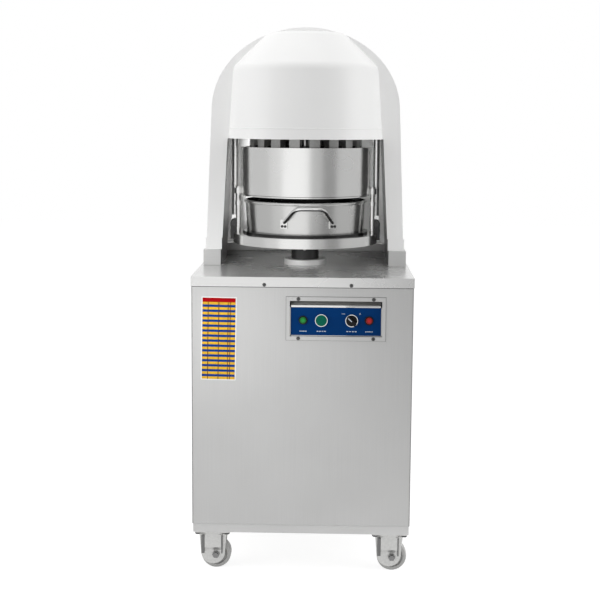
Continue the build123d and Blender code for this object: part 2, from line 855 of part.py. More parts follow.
def make_hood_skirt():
    """Straight band under the dome: two front flanges, two side walls and a round back, butted together."""
    wall_y = cover_front_y + cover_sheet
    spans = ((cover_front_y, wall_y), (wall_y, cover_back_centre_y), (cover_back_centre_y, hood_back_y))
    return group(piece for span in spans for piece in hood_shell(span, (hood_z, arch_spring_z)).solids())


def make_hood_arch():
    """Dome above the skirt."""
    return hood_shell((cover_front_y, hood_back_y), (arch_spring_z, arch_spring_z + arch_crown_rise))


def make_hood_visor():
    """Round shell in front of the arch."""
    shell = visor_solid(0) - visor_solid(cover_sheet)
    reach = visor_foot_radius
    top = hood_z + visor_crown_height
    return shell & block((-reach, reach), (-reach, cover_front_y), (hood_z, top))


# Press frame
def make_column(side):
    """Side plate that leans in from its foot and carries the crosshead."""
    foot, bend = column_foot_half, column_bend_half
    thick = column_thickness
    points = (
        (side * foot, table_z),
        (side * (foot + thick), table_z),
        (side * (bend + thick), arch_spring_z),
        (side * (bend + thick), crosshead_z),
        (side * bend, crosshead_z),
        (side * bend, arch_spring_z),
    )
    outline = upright_outline(Polyline(*points, close=True))
    return extrude(Pos(0, column_front_y + column_depth, 0) * outline, column_depth)


def make_pedestal():
    """Flanged column under the platform."""
    flange_top = table_z + pedestal_flange_height
    return turned([
        (0, table_z),
        (pedestal_flange_radius, table_z),
        (pedestal_flange_radius, flange_top),
        (pedestal_radius, flange_top),
        (pedestal_radius, platform_z),
        (0, platform_z),
    ])


def tie_pin_z():
    """Height of the tie rod pins."""
    return platform_top_z + tie_pin_height


def make_platform():
    """Dished platform with a raised seat for the pan and a fork lug at each side."""
    under = platform_top_z - platform_plate
    rim_inner = platform_radius - platform_rim_wall
    platform = turned([
        (0, platform_z),
        (platform_hub_radius, platform_z),
        (platform_hub_radius, under),
        (rim_inner, under),
        (rim_inner, platform_z),
        (platform_radius, platform_z),
        (platform_radius, platform_top_z),
        (seat_radius, platform_top_z),
        (seat_radius, seat_z),
        (0, seat_z),
    ])
    ear_y = tie_tongue_thickness / 2 + lug_ear_gap
    ears = ((-ear_y - lug_ear_thickness, -ear_y), (ear_y, ear_y + lug_ear_thickness))
    for side in (-1, 1):
        x = side * tie_rod_x
        for y0, y1 in ears:
            low = platform_top_z - lug_drop
            ear = block((x - lug_ear_radius, x + lug_ear_radius), (y0, y1), (low, tie_pin_z()))
            ear += lengthwise(lug_ear_radius, x, tie_pin_z(), y0, y1)
            platform += ear
        hole = tie_pin_radius + running_clearance
        platform -= lengthwise(hole, x, tie_pin_z(), ears[0][0], ears[1][1])
    return platform


def make_tie_rod(side):
    """Round rod with a flat tongue on the lug pin, up to the crosshead."""
    x = side * tie_rod_x
    half = tie_tongue_thickness / 2
    shoulder = tie_pin_z() + tie_tongue_overlap
    rod = upright(tie_rod_radius, x, 0, shoulder, crosshead_z)
    rod += block((x - tie_rod_radius, x + tie_rod_radius), (-half, half), (tie_pin_z(), shoulder))
    rod += lengthwise(tie_rod_radius, x, tie_pin_z(), -half, half)
    return rod - lengthwise(tie_pin_radius + running_clearance, x, tie_pin_z(), -half, half)


def make_rod_pin(side):
    """Headed pin through a lug and its tie rod."""
    x = side * tie_rod_x
    reach = tie_tongue_thickness / 2 + lug_ear_gap + lug_ear_thickness
    pin = lengthwise(tie_pin_radius, x, tie_pin_z(), -reach, reach)
    pin += lengthwise(tie_pin_head_radius, x, tie_pin_z(), -reach - tie_pin_head_height, -reach)
    return pin + lengthwise(tie_pin_head_radius, x, tie_pin_z(), reach, reach + tie_pin_head_height)


def make_guide_post(side):
    """Post on the platform that guides a ring lug, with a stop collar below it."""
    x = side * post_x
    collar_top = pan_rim_z - post_collar_drop
    post = upright(post_radius, x, post_y, platform_top_z, ring_z + ring_lug_height + post_rise)
    return post + upright(post_collar_radius, x, post_y, collar_top - post_collar_height, collar_top)


def make_crosshead():
    """Beam across the column tops, bored for the cylinder."""
    ends = (-crosshead_half_length, crosshead_half_length)
    beam = block(ends, (column_front_y, crosshead_back_y), (crosshead_z, crosshead_top_z))
    return beam - upright(cylinder_radius + seat_clearance, 0, 0, crosshead_z, crosshead_top_z)


def make_press_cylinder():
    """Hydraulic cylinder through the crosshead, with a port at its top end."""
    cylinder = upright(cylinder_radius, 0, 0, cylinder_z, cylinder_top_z)
    flange_top = crosshead_top_z + cylinder_flange_thickness
    cylinder += upright(cylinder_flange_radius, 0, 0, crosshead_top_z, flange_top)
    cylinder += lengthwise(cylinder_port_radius, 0, port_z(), 0, cylinder_port_reach)
    bore_z = cylinder_z + cylinder_end_wall
    cylinder -= upright(cylinder_bore_radius, 0, 0, bore_z, cylinder_top_z - cylinder_end_wall)
    return cylinder - upright(ram_radius + running_clearance, 0, 0, cylinder_z, bore_z)


def port_z():
    """Height of the cylinder's port, under its top face."""
    return cylinder_top_z - cylinder_port_radius


def make_press_ram():
    """Ram with its piston, and a spigot in the knife carrier."""
    piston_top = cylinder_top_z - cylinder_end_wall - piston_top_gap
    ram = upright(ram_radius, 0, 0, ram_z, piston_top)
    piston_radius = cylinder_bore_radius - running_clearance
    ram += upright(piston_radius, 0, 0, piston_top - piston_thickness, piston_top)
    return ram + upright(ram_spigot_radius, 0, 0, knife_carrier_z, ram_z)


# Press head
def spokes(count, inner, outer, width):
    """Radial bars in plan, the first one pointing to the front."""
    bar = Rectangle(outer - inner, width, align=(Align.MIN, Align.CENTER))
    return [Rot(0, 0, -90 + i * 360 / count) * Pos(inner, 0) * bar for i in range(count)]


def make_knife_set():
    """Welded grid of round and radial knives that stands between the plungers."""
    grid = Circle(plunger_hub_radius - knife_channel / 2 + knife_thickness / 2)
    inner = 0
    for count, outer in zip(piece_counts, row_radii):
        grid += spokes(count, inner, outer, knife_thickness)
        inner = outer
    for radius in row_radii[:-1]:
        grid += Circle(radius + knife_thickness / 2) - Circle(radius - knife_thickness / 2)
    return extrude(Pos(0, 0, head_z) * grid, knife_height)


def make_knife_rods():
    """Rods from the knives up to their carrier."""
    foot = head_z + knife_height
    return group(upright(knife_rod_radius, x, y, foot, knife_carrier_z) for x, y in knife_rod_places)


def make_knife_carrier():
    """Disc on the ram that carries the knife rods."""
    carrier = upright(knife_carrier_radius, 0, 0, knife_carrier_z, ram_z)
    return carrier - upright(ram_spigot_radius + running_clearance, 0, 0, knife_carrier_z, ram_z)


def make_plunger_carrier():
    """Disc above the plungers that slides on the knife rods."""
    top = plunger_carrier_z + plunger_carrier_thickness
    carrier = upright(plunger_carrier_radius, 0, 0, plunger_carrier_z, top)
    for x, y in knife_rod_places:
        carrier -= upright(knife_rod_radius + running_clearance, x, y, plunger_carrier_z, top)
    return carrier


def make_plungers():
    """Three rows of plungers of equal area, each a block with a narrower stalk."""
    rod_holes = [Pos(x, y) * Circle(knife_rod_radius + knife_rod_clearance) for x, y in knife_rod_places]
    half = knife_channel / 2
    plungers = []
    inner = plunger_hub_radius - half
    for row, (count, radius) in enumerate(zip(piece_counts, row_radii)):
        outer = radius if radius == row_radii[-1] else radius - half
        blocks = Circle(outer) - Circle(inner + half) - spokes(count, 0, outer, knife_channel) - rod_holes
        bar = Rectangle(stalk_depths[row], stalk_widths[row], align=(Align.MAX, Align.CENTER))
        stalk_end = outer if outer == plunger_radius else (inner + half + outer + stalk_depths[row]) / 2
        step = 360 / count
        stalks = [Rot(0, 0, -90 + (i + 0.5) * step) * Pos(stalk_end, 0) * bar for i in range(count)]
        for face in blocks.faces():
            column = [s & Circle(outer) for s in stalks if face.is_inside(stalk_middle(s))]
            plunger = extrude(Pos(0, 0, head_z) * face, plunger_block_height)
            plunger += extrude(Pos(0, 0, stalk_z) * column[0], plunger_stalk_height)
            plungers.append(plunger)
        inner = radius
    return group(plungers)


def stalk_middle(stalk):
    """Centre of a stalk's face in plan."""
    return stalk.faces()[0].center()


def make_press_ring():
    """Ring that comes down on the pan rim, with a lug at each side on a guide post."""
    groove_low = ring_z + ring_groove_height
    groove_high = groove_low + ring_groove_width
    groove_radius = ring_outer_radius - ring_groove_depth
    ring = turned([
        (ring_inner_radius, ring_z),
        (ring_outer_radius, ring_z),
        (ring_outer_radius, groove_low),
        (groove_radius, groove_low),
        (groove_radius, groove_high),
        (ring_outer_radius, groove_high),
        (ring_outer_radius, ring_top_z),
        (ring_inner_radius, ring_top_z),
    ])
    for side in (-1, 1):
        x = side * post_x
        lug = upright(ring_lug_radius, x, post_y, ring_z, ring_z + ring_lug_height)
        ring += lug - upright(ring_inner_radius, 0, 0, ring_z, ring_top_z)
        ring -= upright(post_radius + running_clearance, x, post_y, ring_z, ring_top_z)
    return ring


# Pan
def pan_envelope(inset, floor_z):
    """Tapered body of the pan, drawn in by inset, from floor_z to the rim."""
    return turned([
        (0, floor_z),
        (pan_floor_radius - inset, floor_z),
        (pan_rim_centre_radius - inset, pan_rim_z - pan_rim_radius),
        (pan_rim_centre_radius - inset, pan_rim_z),
        (0, pan_rim_z),
    ])


def pan_wall_radius(z):
    """Outer radius of the pan at a height."""
    share = (z - seat_z) / (pan_height - pan_rim_radius)
    return pan_floor_radius + share * (pan_rim_centre_radius - pan_floor_radius)


def handle_foot_angle():
    """Angle in plan from the handle's middle to one of its feet."""
    radius = pan_wall_radius(handle_foot_z())
    return degrees(asin(handle_half_span / radius))


def handle_foot_z():
    """Height of the handle's feet."""
    return seat_z + handle_foot_height


def on_pan_wall(shape, side):
    """Shape drawn at the origin with +X outwards, moved to one of the handle's feet."""
    radius = pan_wall_radius(handle_foot_z())
    turn = -90 + pan_turn + side * handle_foot_angle()
    return Rot(0, 0, turn) * Pos(radius, 0, handle_foot_z()) * shape


def rivet_shapes(rivet):
    """The same rivet shape at all four places."""
    half = rivet_spacing / 2
    pair = [Pos(0, shift, -rivet_drop) * rivet for shift in (-half, half)]
    return [on_pan_wall(placed, side) for side in (-1, 1) for placed in pair]


def rivet_holes():
    """Holes through the pads and the pan wall."""
    reach = handle_pad_thickness + 2 * pan_wall
    hole = Rot(0, 90, 0) * Cylinder(rivet_radius + running_clearance, 2 * reach)
    return rivet_shapes(hole)


def make_pan():
    """Tapered pan with a rolled rim."""
    pan = pan_envelope(0, seat_z)
    rim = Plane.XZ * Pos(pan_rim_centre_radius, pan_rim_z - pan_rim_radius) * Circle(pan_rim_radius)
    pan += revolve(rim, Axis.Z)
    pan -= pan_envelope(pan_wall, seat_z + pan_floor)
    return pan - rivet_holes()


def make_pan_handle():
    """Arched rod between two flattened feet on the pan wall."""
    radius = pan_wall_radius(handle_foot_z())
    wall_y = -radius * cos(radians(handle_foot_angle()))
    path = FilletPolyline(
        (-handle_half_span, 0),
        (-handle_top_half, handle_reach),
        (handle_top_half, handle_reach),
        (handle_half_span, 0),
        radius=handle_bend_radius,
    )
    arch_plane = Plane(
        origin=(0, wall_y - handle_pad_thickness / 2, handle_foot_z()),
        x_dir=(1, 0, 0),
        z_dir=(0, -cos(radians(handle_tilt)), -sin(radians(handle_tilt))),
    )
    path = arch_plane * path
    section = Plane(origin=path @ 0, z_dir=path % 0) * Circle(handle_rod_radius)
    handle = Rot(0, 0, pan_turn) * sweep(section, path)
    pad = Box(2 * handle_pad_thickness, handle_pad_width, handle_pad_height)
    for side in (-1, 1):
        handle += on_pan_wall(Pos(0, 0, -handle_pad_drop) * pad, side)
    return handle - pan_envelope(0, seat_z) - rivet_holes()


def make_pan_rivets():
    """Domed rivets through the handle's feet."""
    rivet = upright(rivet_radius, 0, 0, -handle_pad_thickness - pan_wall / 2, 0)
    rivet += upright(rivet_head_radius, 0, 0, 0, rivet_head_height)
    return group(rivet_shapes(Pos(handle_pad_thickness, 0, 0) * Rot(0, 90, 0) * rivet))


# Power pack
def make_oil_tank():
    """Sheet tank on the floor plate, with a hole in its lid for the pump."""
    half_x = tank_width / 2
    half_y = tank_depth / 2
    sheet = tank_sheet
    tank = block((-half_x, half_x), (tank_y - half_y, tank_y + half_y), (floor_top_z, tank_top_z))
    inner_x = (-half_x + sheet, half_x - sheet)
    inner_y = (tank_y - half_y + sheet, tank_y + half_y - sheet)
    tank -= block(inner_x, inner_y, (floor_top_z + sheet, tank_top_z - sheet))
    return tank - upright(pump_radius + seat_clearance, motor_x, tank_y, tank_top_z - sheet, tank_top_z)


def make_motor():
    """Upright motor on the tank lid."""
    flange_top = tank_top_z + motor_flange_thickness
    body_top = flange_top + motor_length
    motor = upright(motor_flange_radius, motor_x, tank_y, tank_top_z, flange_top)
    motor += upright(motor_radius, motor_x, tank_y, flange_top, body_top)
    return motor + upright(motor_cowl_radius, motor_x, tank_y, body_top, body_top + motor_cowl_height)


def make_pump():
    """Pump that hangs from the motor into the tank."""
    return upright(pump_radius, motor_x, tank_y, tank_top_z - pump_length, tank_top_z)


def make_pressure_pipe():
    """Pipe from the tank lid up behind the alcove and over to the cylinder."""
    cross_z = crosshead_z - pipe_cross_drop
    path = FilletPolyline(
        (0, pipe_drop_y, tank_top_z),
        (0, pipe_drop_y, cross_z),
        (0, pipe_front_y, cross_z),
        (0, pipe_front_y, port_z()),
        (0, cylinder_port_reach, port_z()),
        radius=pipe_bend_radius,
    )
    section = Plane(origin=path @ 0, z_dir=path % 0) * Circle(pipe_radius)
    return sweep(section, path)


def both_sides(make):
    """Left and right copies of a piece in one node."""
    return group([make(-1), make(1)])


def make_nodes():
    """Every node of the machine by name."""
    nodes = {
        "base_frame": make_base_frame(),
        "floor_plate": make_floor_plate(),
        "front_panel": make_front_panel(),
        "rear_panel": make_rear_panel(),
        "side_panels": both_sides(make_side_panel),
        "top_plate": make_top_plate(),
        "panel_screws": make_panel_screws(),
        "cable_gland": make_cable_gland(),
        "control_bezel": make_control_bezel(),
        "control_box": make_control_box(),
        "control_panel": make_control_panel(),
        "lamp_bezels": group([make_lamp_bezel(run_lamp_x), make_lamp_bezel(stop_lamp_x)]),
        "run_lamp_lens": make_lamp_lens(run_lamp_x),
        "stop_lamp_lens": make_lamp_lens(stop_lamp_x),
        "button_bezels": group([make_button_bezel(start_button_x), make_button_bezel(selector_x)]),
        "start_button": make_start_button(),
        "selector_knob": make_selector_knob(),
        "rear_plinth": make_rear_plinth(),
        "cover_base": make_cover_base(),
        "back_cover": make_back_cover(),
        "hood_skirt": make_hood_skirt(),
        "hood_arch": make_hood_arch(),
        "hood_visor": make_hood_visor(),
        "left_column": make_column(-1),
        "right_column": make_column(1),
        "pedestal": make_pedestal(),
        "platform": make_platform(),
        "tie_rods": both_sides(make_tie_rod),
        "rod_pins": both_sides(make_rod_pin),
        "guide_posts": both_sides(make_guide_post),
        "crosshead": make_crosshead(),
        "press_cylinder": make_press_cylinder(),
        "press_ram": make_press_ram(),
        "knife_carrier": make_knife_carrier(),
        "knife_rods": make_knife_rods(),
        "knife_set": make_knife_set(),
        "plunger_carrier": make_plunger_carrier(),
        "plungers": make_plungers(),
        "press_ring": make_press_ring(),
        "pan": make_pan(),
        "pan_handle": make_pan_handle(),
        "pan_rivets": make_pan_rivets(),
        "oil_tank": make_oil_tank(),
        "motor": make_motor(),
        "pump": make_pump(),
        "pressure_pipe": make_pressure_pipe(),
        "caster_plates": group(make_caster_plate(*sides) for sides in CASTERS.values()),
        "caster_bolts": make_caster_bolts(),
    }
    for place, sides in CASTERS.items():
        nodes[f"fork_{place}"] = make_caster_fork(*sides)
        nodes[f"wheel_{place}"] = make_caster_wheel(*sides)
        nodes[f"axle_{place}"] = make_caster_axle(*sides)
    return nodes


os.makedirs("parts", exist_ok=True)
for name, shape in make_nodes().items():
    export_step(shape, f"parts/{name}.step")
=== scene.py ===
"""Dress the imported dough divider: finishes, small trim, studio light and camera.

Metres, in the frame of the CAD model: X points right, Y to the back and Z up.
"""

import json
import logging
from dataclasses import dataclass, field
from enum import Enum
from math import acos, atan2, cos, hypot, pi, radians, sin
from typing import ClassVar

import bmesh
import bpy
from mathutils import Euler, Matrix, Quaternion, Vector


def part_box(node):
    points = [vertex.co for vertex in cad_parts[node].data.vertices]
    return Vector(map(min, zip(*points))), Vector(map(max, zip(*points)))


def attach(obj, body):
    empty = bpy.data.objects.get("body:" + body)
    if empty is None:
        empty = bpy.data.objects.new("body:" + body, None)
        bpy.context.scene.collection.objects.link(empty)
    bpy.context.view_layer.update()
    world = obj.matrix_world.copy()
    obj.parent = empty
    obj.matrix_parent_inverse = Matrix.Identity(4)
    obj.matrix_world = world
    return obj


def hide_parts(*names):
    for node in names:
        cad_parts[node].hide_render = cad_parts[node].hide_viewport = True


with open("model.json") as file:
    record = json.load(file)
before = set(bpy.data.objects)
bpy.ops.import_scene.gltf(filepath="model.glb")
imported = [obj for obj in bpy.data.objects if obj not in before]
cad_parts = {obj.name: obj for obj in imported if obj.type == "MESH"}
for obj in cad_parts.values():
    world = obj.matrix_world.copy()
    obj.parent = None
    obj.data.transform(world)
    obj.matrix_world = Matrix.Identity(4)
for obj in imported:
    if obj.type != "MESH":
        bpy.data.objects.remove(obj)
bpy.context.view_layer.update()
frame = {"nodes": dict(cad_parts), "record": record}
LOG = logging.getLogger("dough_divider")

Colour = tuple[float, float, float]
Point = tuple[float, float, float]
Size = tuple[float, float]
Outline = tuple[tuple[float, float], ...]
Node = bpy.types.Node
Socket = bpy.types.NodeSocket
SocketValue = float | tuple[float, ...] | Socket
Inputs = dict[str | int, SocketValue]
Mesh = bmesh.types.BMesh
Vert = bmesh.types.BMVert
Edge = bmesh.types.BMEdge

MERGE_DISTANCE = 1e-5
FLAT_ANGLE = radians(0.3)
SHARP_ANGLE = radians(32)
ROUNDING_SEGMENTS = 2
# Edge radius of thin sheet and trim, as a share of its thickness.
SOFT_EDGE = 0.25
# The part of a noise's range that a pattern is spread over.
NOISE_LOW, NOISE_HIGH = 0.3, 0.7
RELIEF_DEPTH = 0.0002
LEVEL_PART = (1.0, 1.0, 0.0)
WHITE = (1.0, 1.0, 1.0, 1.0)
BLACK = (0.0, 0.0, 0.0, 1.0)
LENS_ROUGHNESS = 0.25
PRINT_THICKNESS = 0.00015
FLANGE_RADIUS = 0.06
FLANGE_THICKNESS = 0.013
FLANGE_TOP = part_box("pedestal")[0].z + FLANGE_THICKNESS
PLATFORM_RADIUS = 0.184
PLATFORM_TOP = 0.8043
CASTER_PLACES = ("front_left", "front_right", "rear_left", "rear_right")


class Grain(Enum):
    """Run of the fine lines in a metal, as pattern scales along X, Y and Z."""

    UPRIGHT = (900.0, 900.0, 5.0)
    LEVEL = (5.0, 900.0, 900.0)
    DEEP = (900.0, 5.0, 900.0)
    TURNED = (4.0, 4.0, 1400.0)
    CAST = (260.0, 260.0, 260.0)


class NodeGraph:
    """Node tree of a material or of the world."""

    def __init__(self, tree: bpy.types.NodeTree) -> None:
        """Take up a tree to add nodes to."""
        self.tree = tree

    def feed(self, node: Node, inputs: Inputs) -> None:
        """Set or link the inputs of a node.

        Args:
            node: The node to feed.
            inputs: Values or output sockets by input name or number.
        """
        for key, value in inputs.items():
            if isinstance(value, Socket):
                self.tree.links.new(value, node.inputs[key])
            else:
                node.inputs[key].default_value = value

    def add(self, kind: str, inputs: Inputs, **settings: str) -> Node:
        """Add a node.

        Args:
            kind: Blender's name for the node type.
            inputs: Values or output sockets by input name or number.
            settings: Other properties of the node.

        Returns:
            The new node.
        """
        node = self.tree.nodes.new(kind)
        for key, value in settings.items():
            setattr(node, key, value)
        self.feed(node, inputs)
        return node

    def math(self, operation: str, *values: SocketValue) -> Socket:
        """One step of arithmetic on numbers or sockets."""
        return self.add("ShaderNodeMath", dict(enumerate(values)), operation=operation).outputs[0]

    def vector(self, operation: str, *values: SocketValue) -> Node:
        """One step of vector arithmetic, as the node that does it."""
        return self.add("ShaderNodeVectorMath", dict(enumerate(values)), operation=operation)

    def coords(self, kind: str) -> Socket:
        """Texture coordinates of the given kind."""
        return self.add("ShaderNodeTexCoord", {}).outputs[kind]

    def axes(self, vector: Socket) -> dict[str, Socket]:
        """Sockets for the X, Y and Z of a vector."""
        outputs = self.add("ShaderNodeSeparateXYZ", {"Vector": vector}).outputs
        return {socket.name: socket for socket in outputs}

    def local_axes(
        self, centre: Point, turn: float = 0.0, scale: Point = (1.0, 1.0, 1.0)
    ) -> dict[str, Socket]:
        """Object coordinates in a piece's own axes.

        Args:
            centre: Where the axes meet.
            turn: Turn of the axes about Y.
            scale: Length that counts as 1 along X, Y and Z.

        Returns:
            Sockets for X, Y and Z.
        """
        place = {"Location": centre, "Rotation": (0.0, turn, 0.0), "Scale": scale}
        inputs = {"Vector": self.coords("Object"), **place}
        mapping = self.add("ShaderNodeMapping", inputs, vector_type="TEXTURE")
        return self.axes(mapping.outputs["Vector"])

    def noise(self, scale: Point, detail: float) -> Socket:
        """Noise over the object.

        Args:
            scale: Pattern scale along X, Y and Z.
            detail: Number of finer octaves.

        Returns:
            The noise value, about 0.5 in the middle.
        """
        inputs = {"Vector": self.coords("Object"), "Scale": scale}
        stretched = self.add("ShaderNodeMapping", inputs).outputs["Vector"]
        inputs = {"Vector": stretched, "Scale": 1.0, "Detail": detail}
        return self.add("ShaderNodeTexNoise", inputs).outputs[0]

    def vary(self, value: Socket, middle: float, share: float) -> Socket:
        """Number that a noise varies.

        Args:
            value: The noise.
            middle: The number at the middle of the noise.
            share: Most that it varies to each side, as a share of it.

        Returns:
            The varied number.
        """
        spread = self.add("ShaderNodeMapRange", {
            "Value": value,
            "From Min": NOISE_LOW,
            "From Max": NOISE_HIGH,
            "To Min": middle * (1 - share),
            "To Max": middle * (1 + share),
        })
        return spread.outputs["Result"]

    def shades(self, value: Socket, dark: Colour, light: Colour) -> Socket:
        """Colour that runs between two shades.

        Args:
            value: Noise that picks the shade.
            dark: Shade at the low end.
            light: Shade at the high end.

        Returns:
            The colour.
        """
        ramp = self.add("ShaderNodeValToRGB", {"Fac": value})
        stops = zip(ramp.color_ramp.elements, (NOISE_LOW, NOISE_HIGH), (dark, light))
        for stop, place, shade in stops:
            stop.position = place
            stop.color = (*shade, 1.0)
        return ramp.outputs["Color"]

    def tint(self, value: Socket, base: Colour, share: float) -> Socket:
        """Colour that a noise makes darker and lighter by a share of it."""
        return self.shades(value, scaled(base, 1 - share), scaled(base, 1 + share))

    def bump(self, height: Socket, strength: float) -> Socket:
        """Normal of a surface with a fine relief."""
        inputs = {"Height": height, "Strength": strength, "Distance": RELIEF_DEPTH}
        return self.add("ShaderNodeBump", inputs).outputs["Normal"]

    def mix(self, share: SocketValue, first: Colour | Socket, second: Colour | Socket) -> Socket:
        """Mix two colours.

        Args:
            share: Share of the second colour.
            first: Colour at share 0.
            second: Colour at share 1.

        Returns:
            The mixed colour.
        """
        node = self.add("ShaderNodeMix", {"Factor": share}, data_type="RGBA")
        places = [place for place, socket in enumerate(node.inputs) if socket.type == "RGBA"]
        colours = [each if isinstance(each, Socket) else (*each, 1.0) for each in (first, second)]
        self.feed(node, dict(zip(places, colours)))
        return next(socket for socket in node.outputs if socket.type == "RGBA")

    def seen_rays(self) -> Socket:
        """Find the rays that show a thing.

        Returns:
            Value that is 1 for camera, glossy and transmission rays.
        """
        rays = self.add("ShaderNodeLightPath", {}).outputs
        seen = self.math("MAXIMUM", rays["Is Camera Ray"], rays["Is Glossy Ray"])
        return self.math("MAXIMUM", seen, rays["Is Transmission Ray"])


class MaterialGraph(NodeGraph):
    """Node tree of a new material, with its main shader."""

    def __init__(self, name: str) -> None:
        """Start a material that holds its main shader and output.

        Args:
            name: Name of the material.
        """
        self.material = bpy.data.materials.new(name)
        self.material.use_nodes = True
        super().__init__(self.material.node_tree)
        self.shader = self.tree.nodes["Principled BSDF"]


def scaled(colour: Colour, factor: float) -> Colour:
    """Colour made darker or lighter, up to white."""
    return tuple(min(1.0, part * factor) for part in colour)


@dataclass(frozen=True)
class Finish:
    """Surface of a piece."""

    GLOSS_SPREAD: ClassVar[float] = 0.1

    name: str
    base: Colour
    roughness: float

    def paint(self, graph: MaterialGraph) -> None:
        """Add the surface's nodes to its graph."""
        raise NotImplementedError

    def material(self) -> bpy.types.Material:
        """Make the material once, named apart from the frame's own materials.

        Returns:
            The material of this finish.
        """
        own_name = f"{self.name}_finish"
        made = bpy.data.materials.get(own_name)
        if made is None:
            graph = MaterialGraph(own_name)
            self.paint(graph)
            made = graph.material
        return made


@dataclass(frozen=True)
class Metal(Finish):
    """Bare metal with fine lines, faint handling marks and a soft gloss."""

    GLOSS_SPREAD: ClassVar[float] = 0.15
    LINE_DETAIL: ClassVar[float] = 4.0
    MARK_SCALE: ClassVar[Point] = (9.0, 9.0, 9.0)
    MARK_DETAIL: ClassVar[float] = 3.0

    grain: Grain = Grain.LEVEL
    metallic: float = 1.0
    spread: float = 0.05
    relief: float = 0.05

    def paint(self, graph: MaterialGraph) -> None:
        """Add lines to the colour and relief, and marks to the gloss.

        Args:
            graph: Graph of the material.
        """
        lines = graph.noise(self.grain.value, self.LINE_DETAIL)
        marks = graph.noise(self.MARK_SCALE, self.MARK_DETAIL)
        graph.feed(graph.shader, {
            "Base Color": self.tone(graph, graph.tint(lines, self.base, self.spread)),
            "Roughness": graph.vary(marks, self.roughness, self.GLOSS_SPREAD),
            "Metallic": self.metallic,
            "Normal": graph.bump(lines, self.relief),
        })

    def tone(self, graph: MaterialGraph, shade: Socket) -> Socket:
        """Colour of the metal, on which some metals paint shade over a part of their faces."""
        return shade


@dataclass(frozen=True)
class InsideShadedMetal(Metal):
    """Metal of a round vessel about the upright axis, with painted shade on the inside."""

    inside_shade: Colour = (0.04, 0.04, 0.04)

    def tone(self, graph: MaterialGraph, shade: Socket) -> Socket:
        """Paint shade on the faces that are turned towards the axis.

        Args:
            graph: Graph of the material.
            shade: Shade of the other faces.

        Returns:
            The shade of all faces.
        """
        level = graph.vector("MULTIPLY", graph.coords("Object"), LEVEL_PART).outputs["Vector"]
        outward = graph.vector("DOT_PRODUCT", level, graph.coords("Normal")).outputs["Value"]
        return graph.mix(graph.math("LESS_THAN", outward, 0.0), shade, self.inside_shade)


@dataclass(frozen=True)
class UndersideShadedMetal(Metal):
    """Metal of a grip, with painted shade on its undersides."""

    underside_shade: Colour = (0.05, 0.05, 0.05)
    lean: float = -0.2

    def tone(self, graph: MaterialGraph, shade: Socket) -> Socket:
        """Paint shade on the faces that are turned down."""
        upward = graph.axes(graph.coords("Normal"))["Z"]
        return graph.mix(graph.math("LESS_THAN", upward, self.lean), shade, self.underside_shade)


@dataclass(frozen=True)
class RimShadedMetal(Metal):
    """Metal of a round plate, with painted shade above its top and outside its rim."""

    radius: float = PLATFORM_RADIUS
    top_z: float = PLATFORM_TOP
    outer_shade: Colour = (0.05, 0.05, 0.05)

    def tone(self, graph: MaterialGraph, shade: Socket) -> Socket:
        """Paint shade on what stands above the plate or outside its rim.

        Args:
            graph: Graph of the material.
            shade: Shade of the plate.

        Returns:
            The shade of the whole.
        """
        coords = graph.coords("Object")
        level = graph.vector("MULTIPLY", coords, LEVEL_PART).outputs["Vector"]
        reach = graph.vector("LENGTH", level).outputs["Value"]
        outside = graph.math("GREATER_THAN", reach, self.radius + MERGE_DISTANCE)
        above = graph.math("GREATER_THAN", graph.axes(coords)["Z"], self.top_z + MERGE_DISTANCE)
        return graph.mix(graph.math("MAXIMUM", outside, above), shade, self.outer_shade)


@dataclass(frozen=True)
class Coating(Finish):
    """Paint or moulded plastic with a fine texture and faint clouds of colour."""

    CLOUD_SCALE: ClassVar[Point] = (5.0, 5.0, 5.0)
    CLOUD_DETAIL: ClassVar[float] = 2.0
    TEXTURE_DETAIL: ClassVar[float] = 3.0
    COAT_ROUGHNESS: ClassVar[float] = 0.12

    texture: float = 900.0
    relief: float = 0.06
    cloud: float = 0.03
    coat: float = 0.0
    gloss: float = 0.5

    def paint(self, graph: MaterialGraph) -> None:
        """Add clouds to the colour, and the fine texture to the gloss and relief.

        Args:
            graph: Graph of the material.
        """
        clouds = graph.noise(self.CLOUD_SCALE, self.CLOUD_DETAIL)
        grains = graph.noise((self.texture,) * 3, self.TEXTURE_DETAIL)
        graph.feed(graph.shader, {
            "Base Color": graph.tint(clouds, self.base, self.cloud),
            "Roughness": graph.vary(grains, self.roughness, self.GLOSS_SPREAD),
            "Coat Weight": self.coat,
            "Coat Roughness": self.COAT_ROUGHNESS,
            "Specular IOR Level": self.gloss,
            "Normal": graph.bump(grains, self.relief),
        })


@dataclass(frozen=True)
class LampLens(Finish):
    """Coloured lens with a painted glow, bright in the middle, and fine rings."""

    # Painted glow of a lit pilot lamp: the base colour is lighter in the middle and darker at the rim.
    GLOW_MIDDLE: ClassVar[float] = 1.3
    GLOW_RIM: ClassVar[float] = 0.6

    centre: Point = (0.0, 0.0, 0.0)
    radius: float = 0.008
    ring_count: float = 9.0
    ring_relief: float = 0.25
    coat: float = 0.25
    coat_roughness: float = 0.08
    gloss: float = 0.25

    def paint(self, graph: MaterialGraph) -> None:
        """Add the painted glow, bright in the middle and darker at the rim, and the rings about the
        lens axis.

        Args:
            graph: Graph of the material.
        """
        axes = graph.local_axes(self.centre, scale=(self.radius, 1.0, self.radius))
        squares = [graph.math("MULTIPLY", axes[axis], axes[axis]) for axis in ("X", "Z")]
        distance = graph.math("SQRT", graph.math("ADD", *squares))
        rings = graph.math("SINE", graph.math("MULTIPLY", distance, self.ring_count * 2 * pi))
        middle, rim = scaled(self.base, self.GLOW_MIDDLE), scaled(self.base, self.GLOW_RIM)
        graph.feed(graph.shader, {
            "Base Color": graph.shades(distance, middle, rim),
            "Roughness": self.roughness,
            "Coat Weight": self.coat,
            "Coat Roughness": self.coat_roughness,
            "Specular IOR Level": self.gloss,
            "Normal": graph.bump(rings, self.ring_relief),
        })


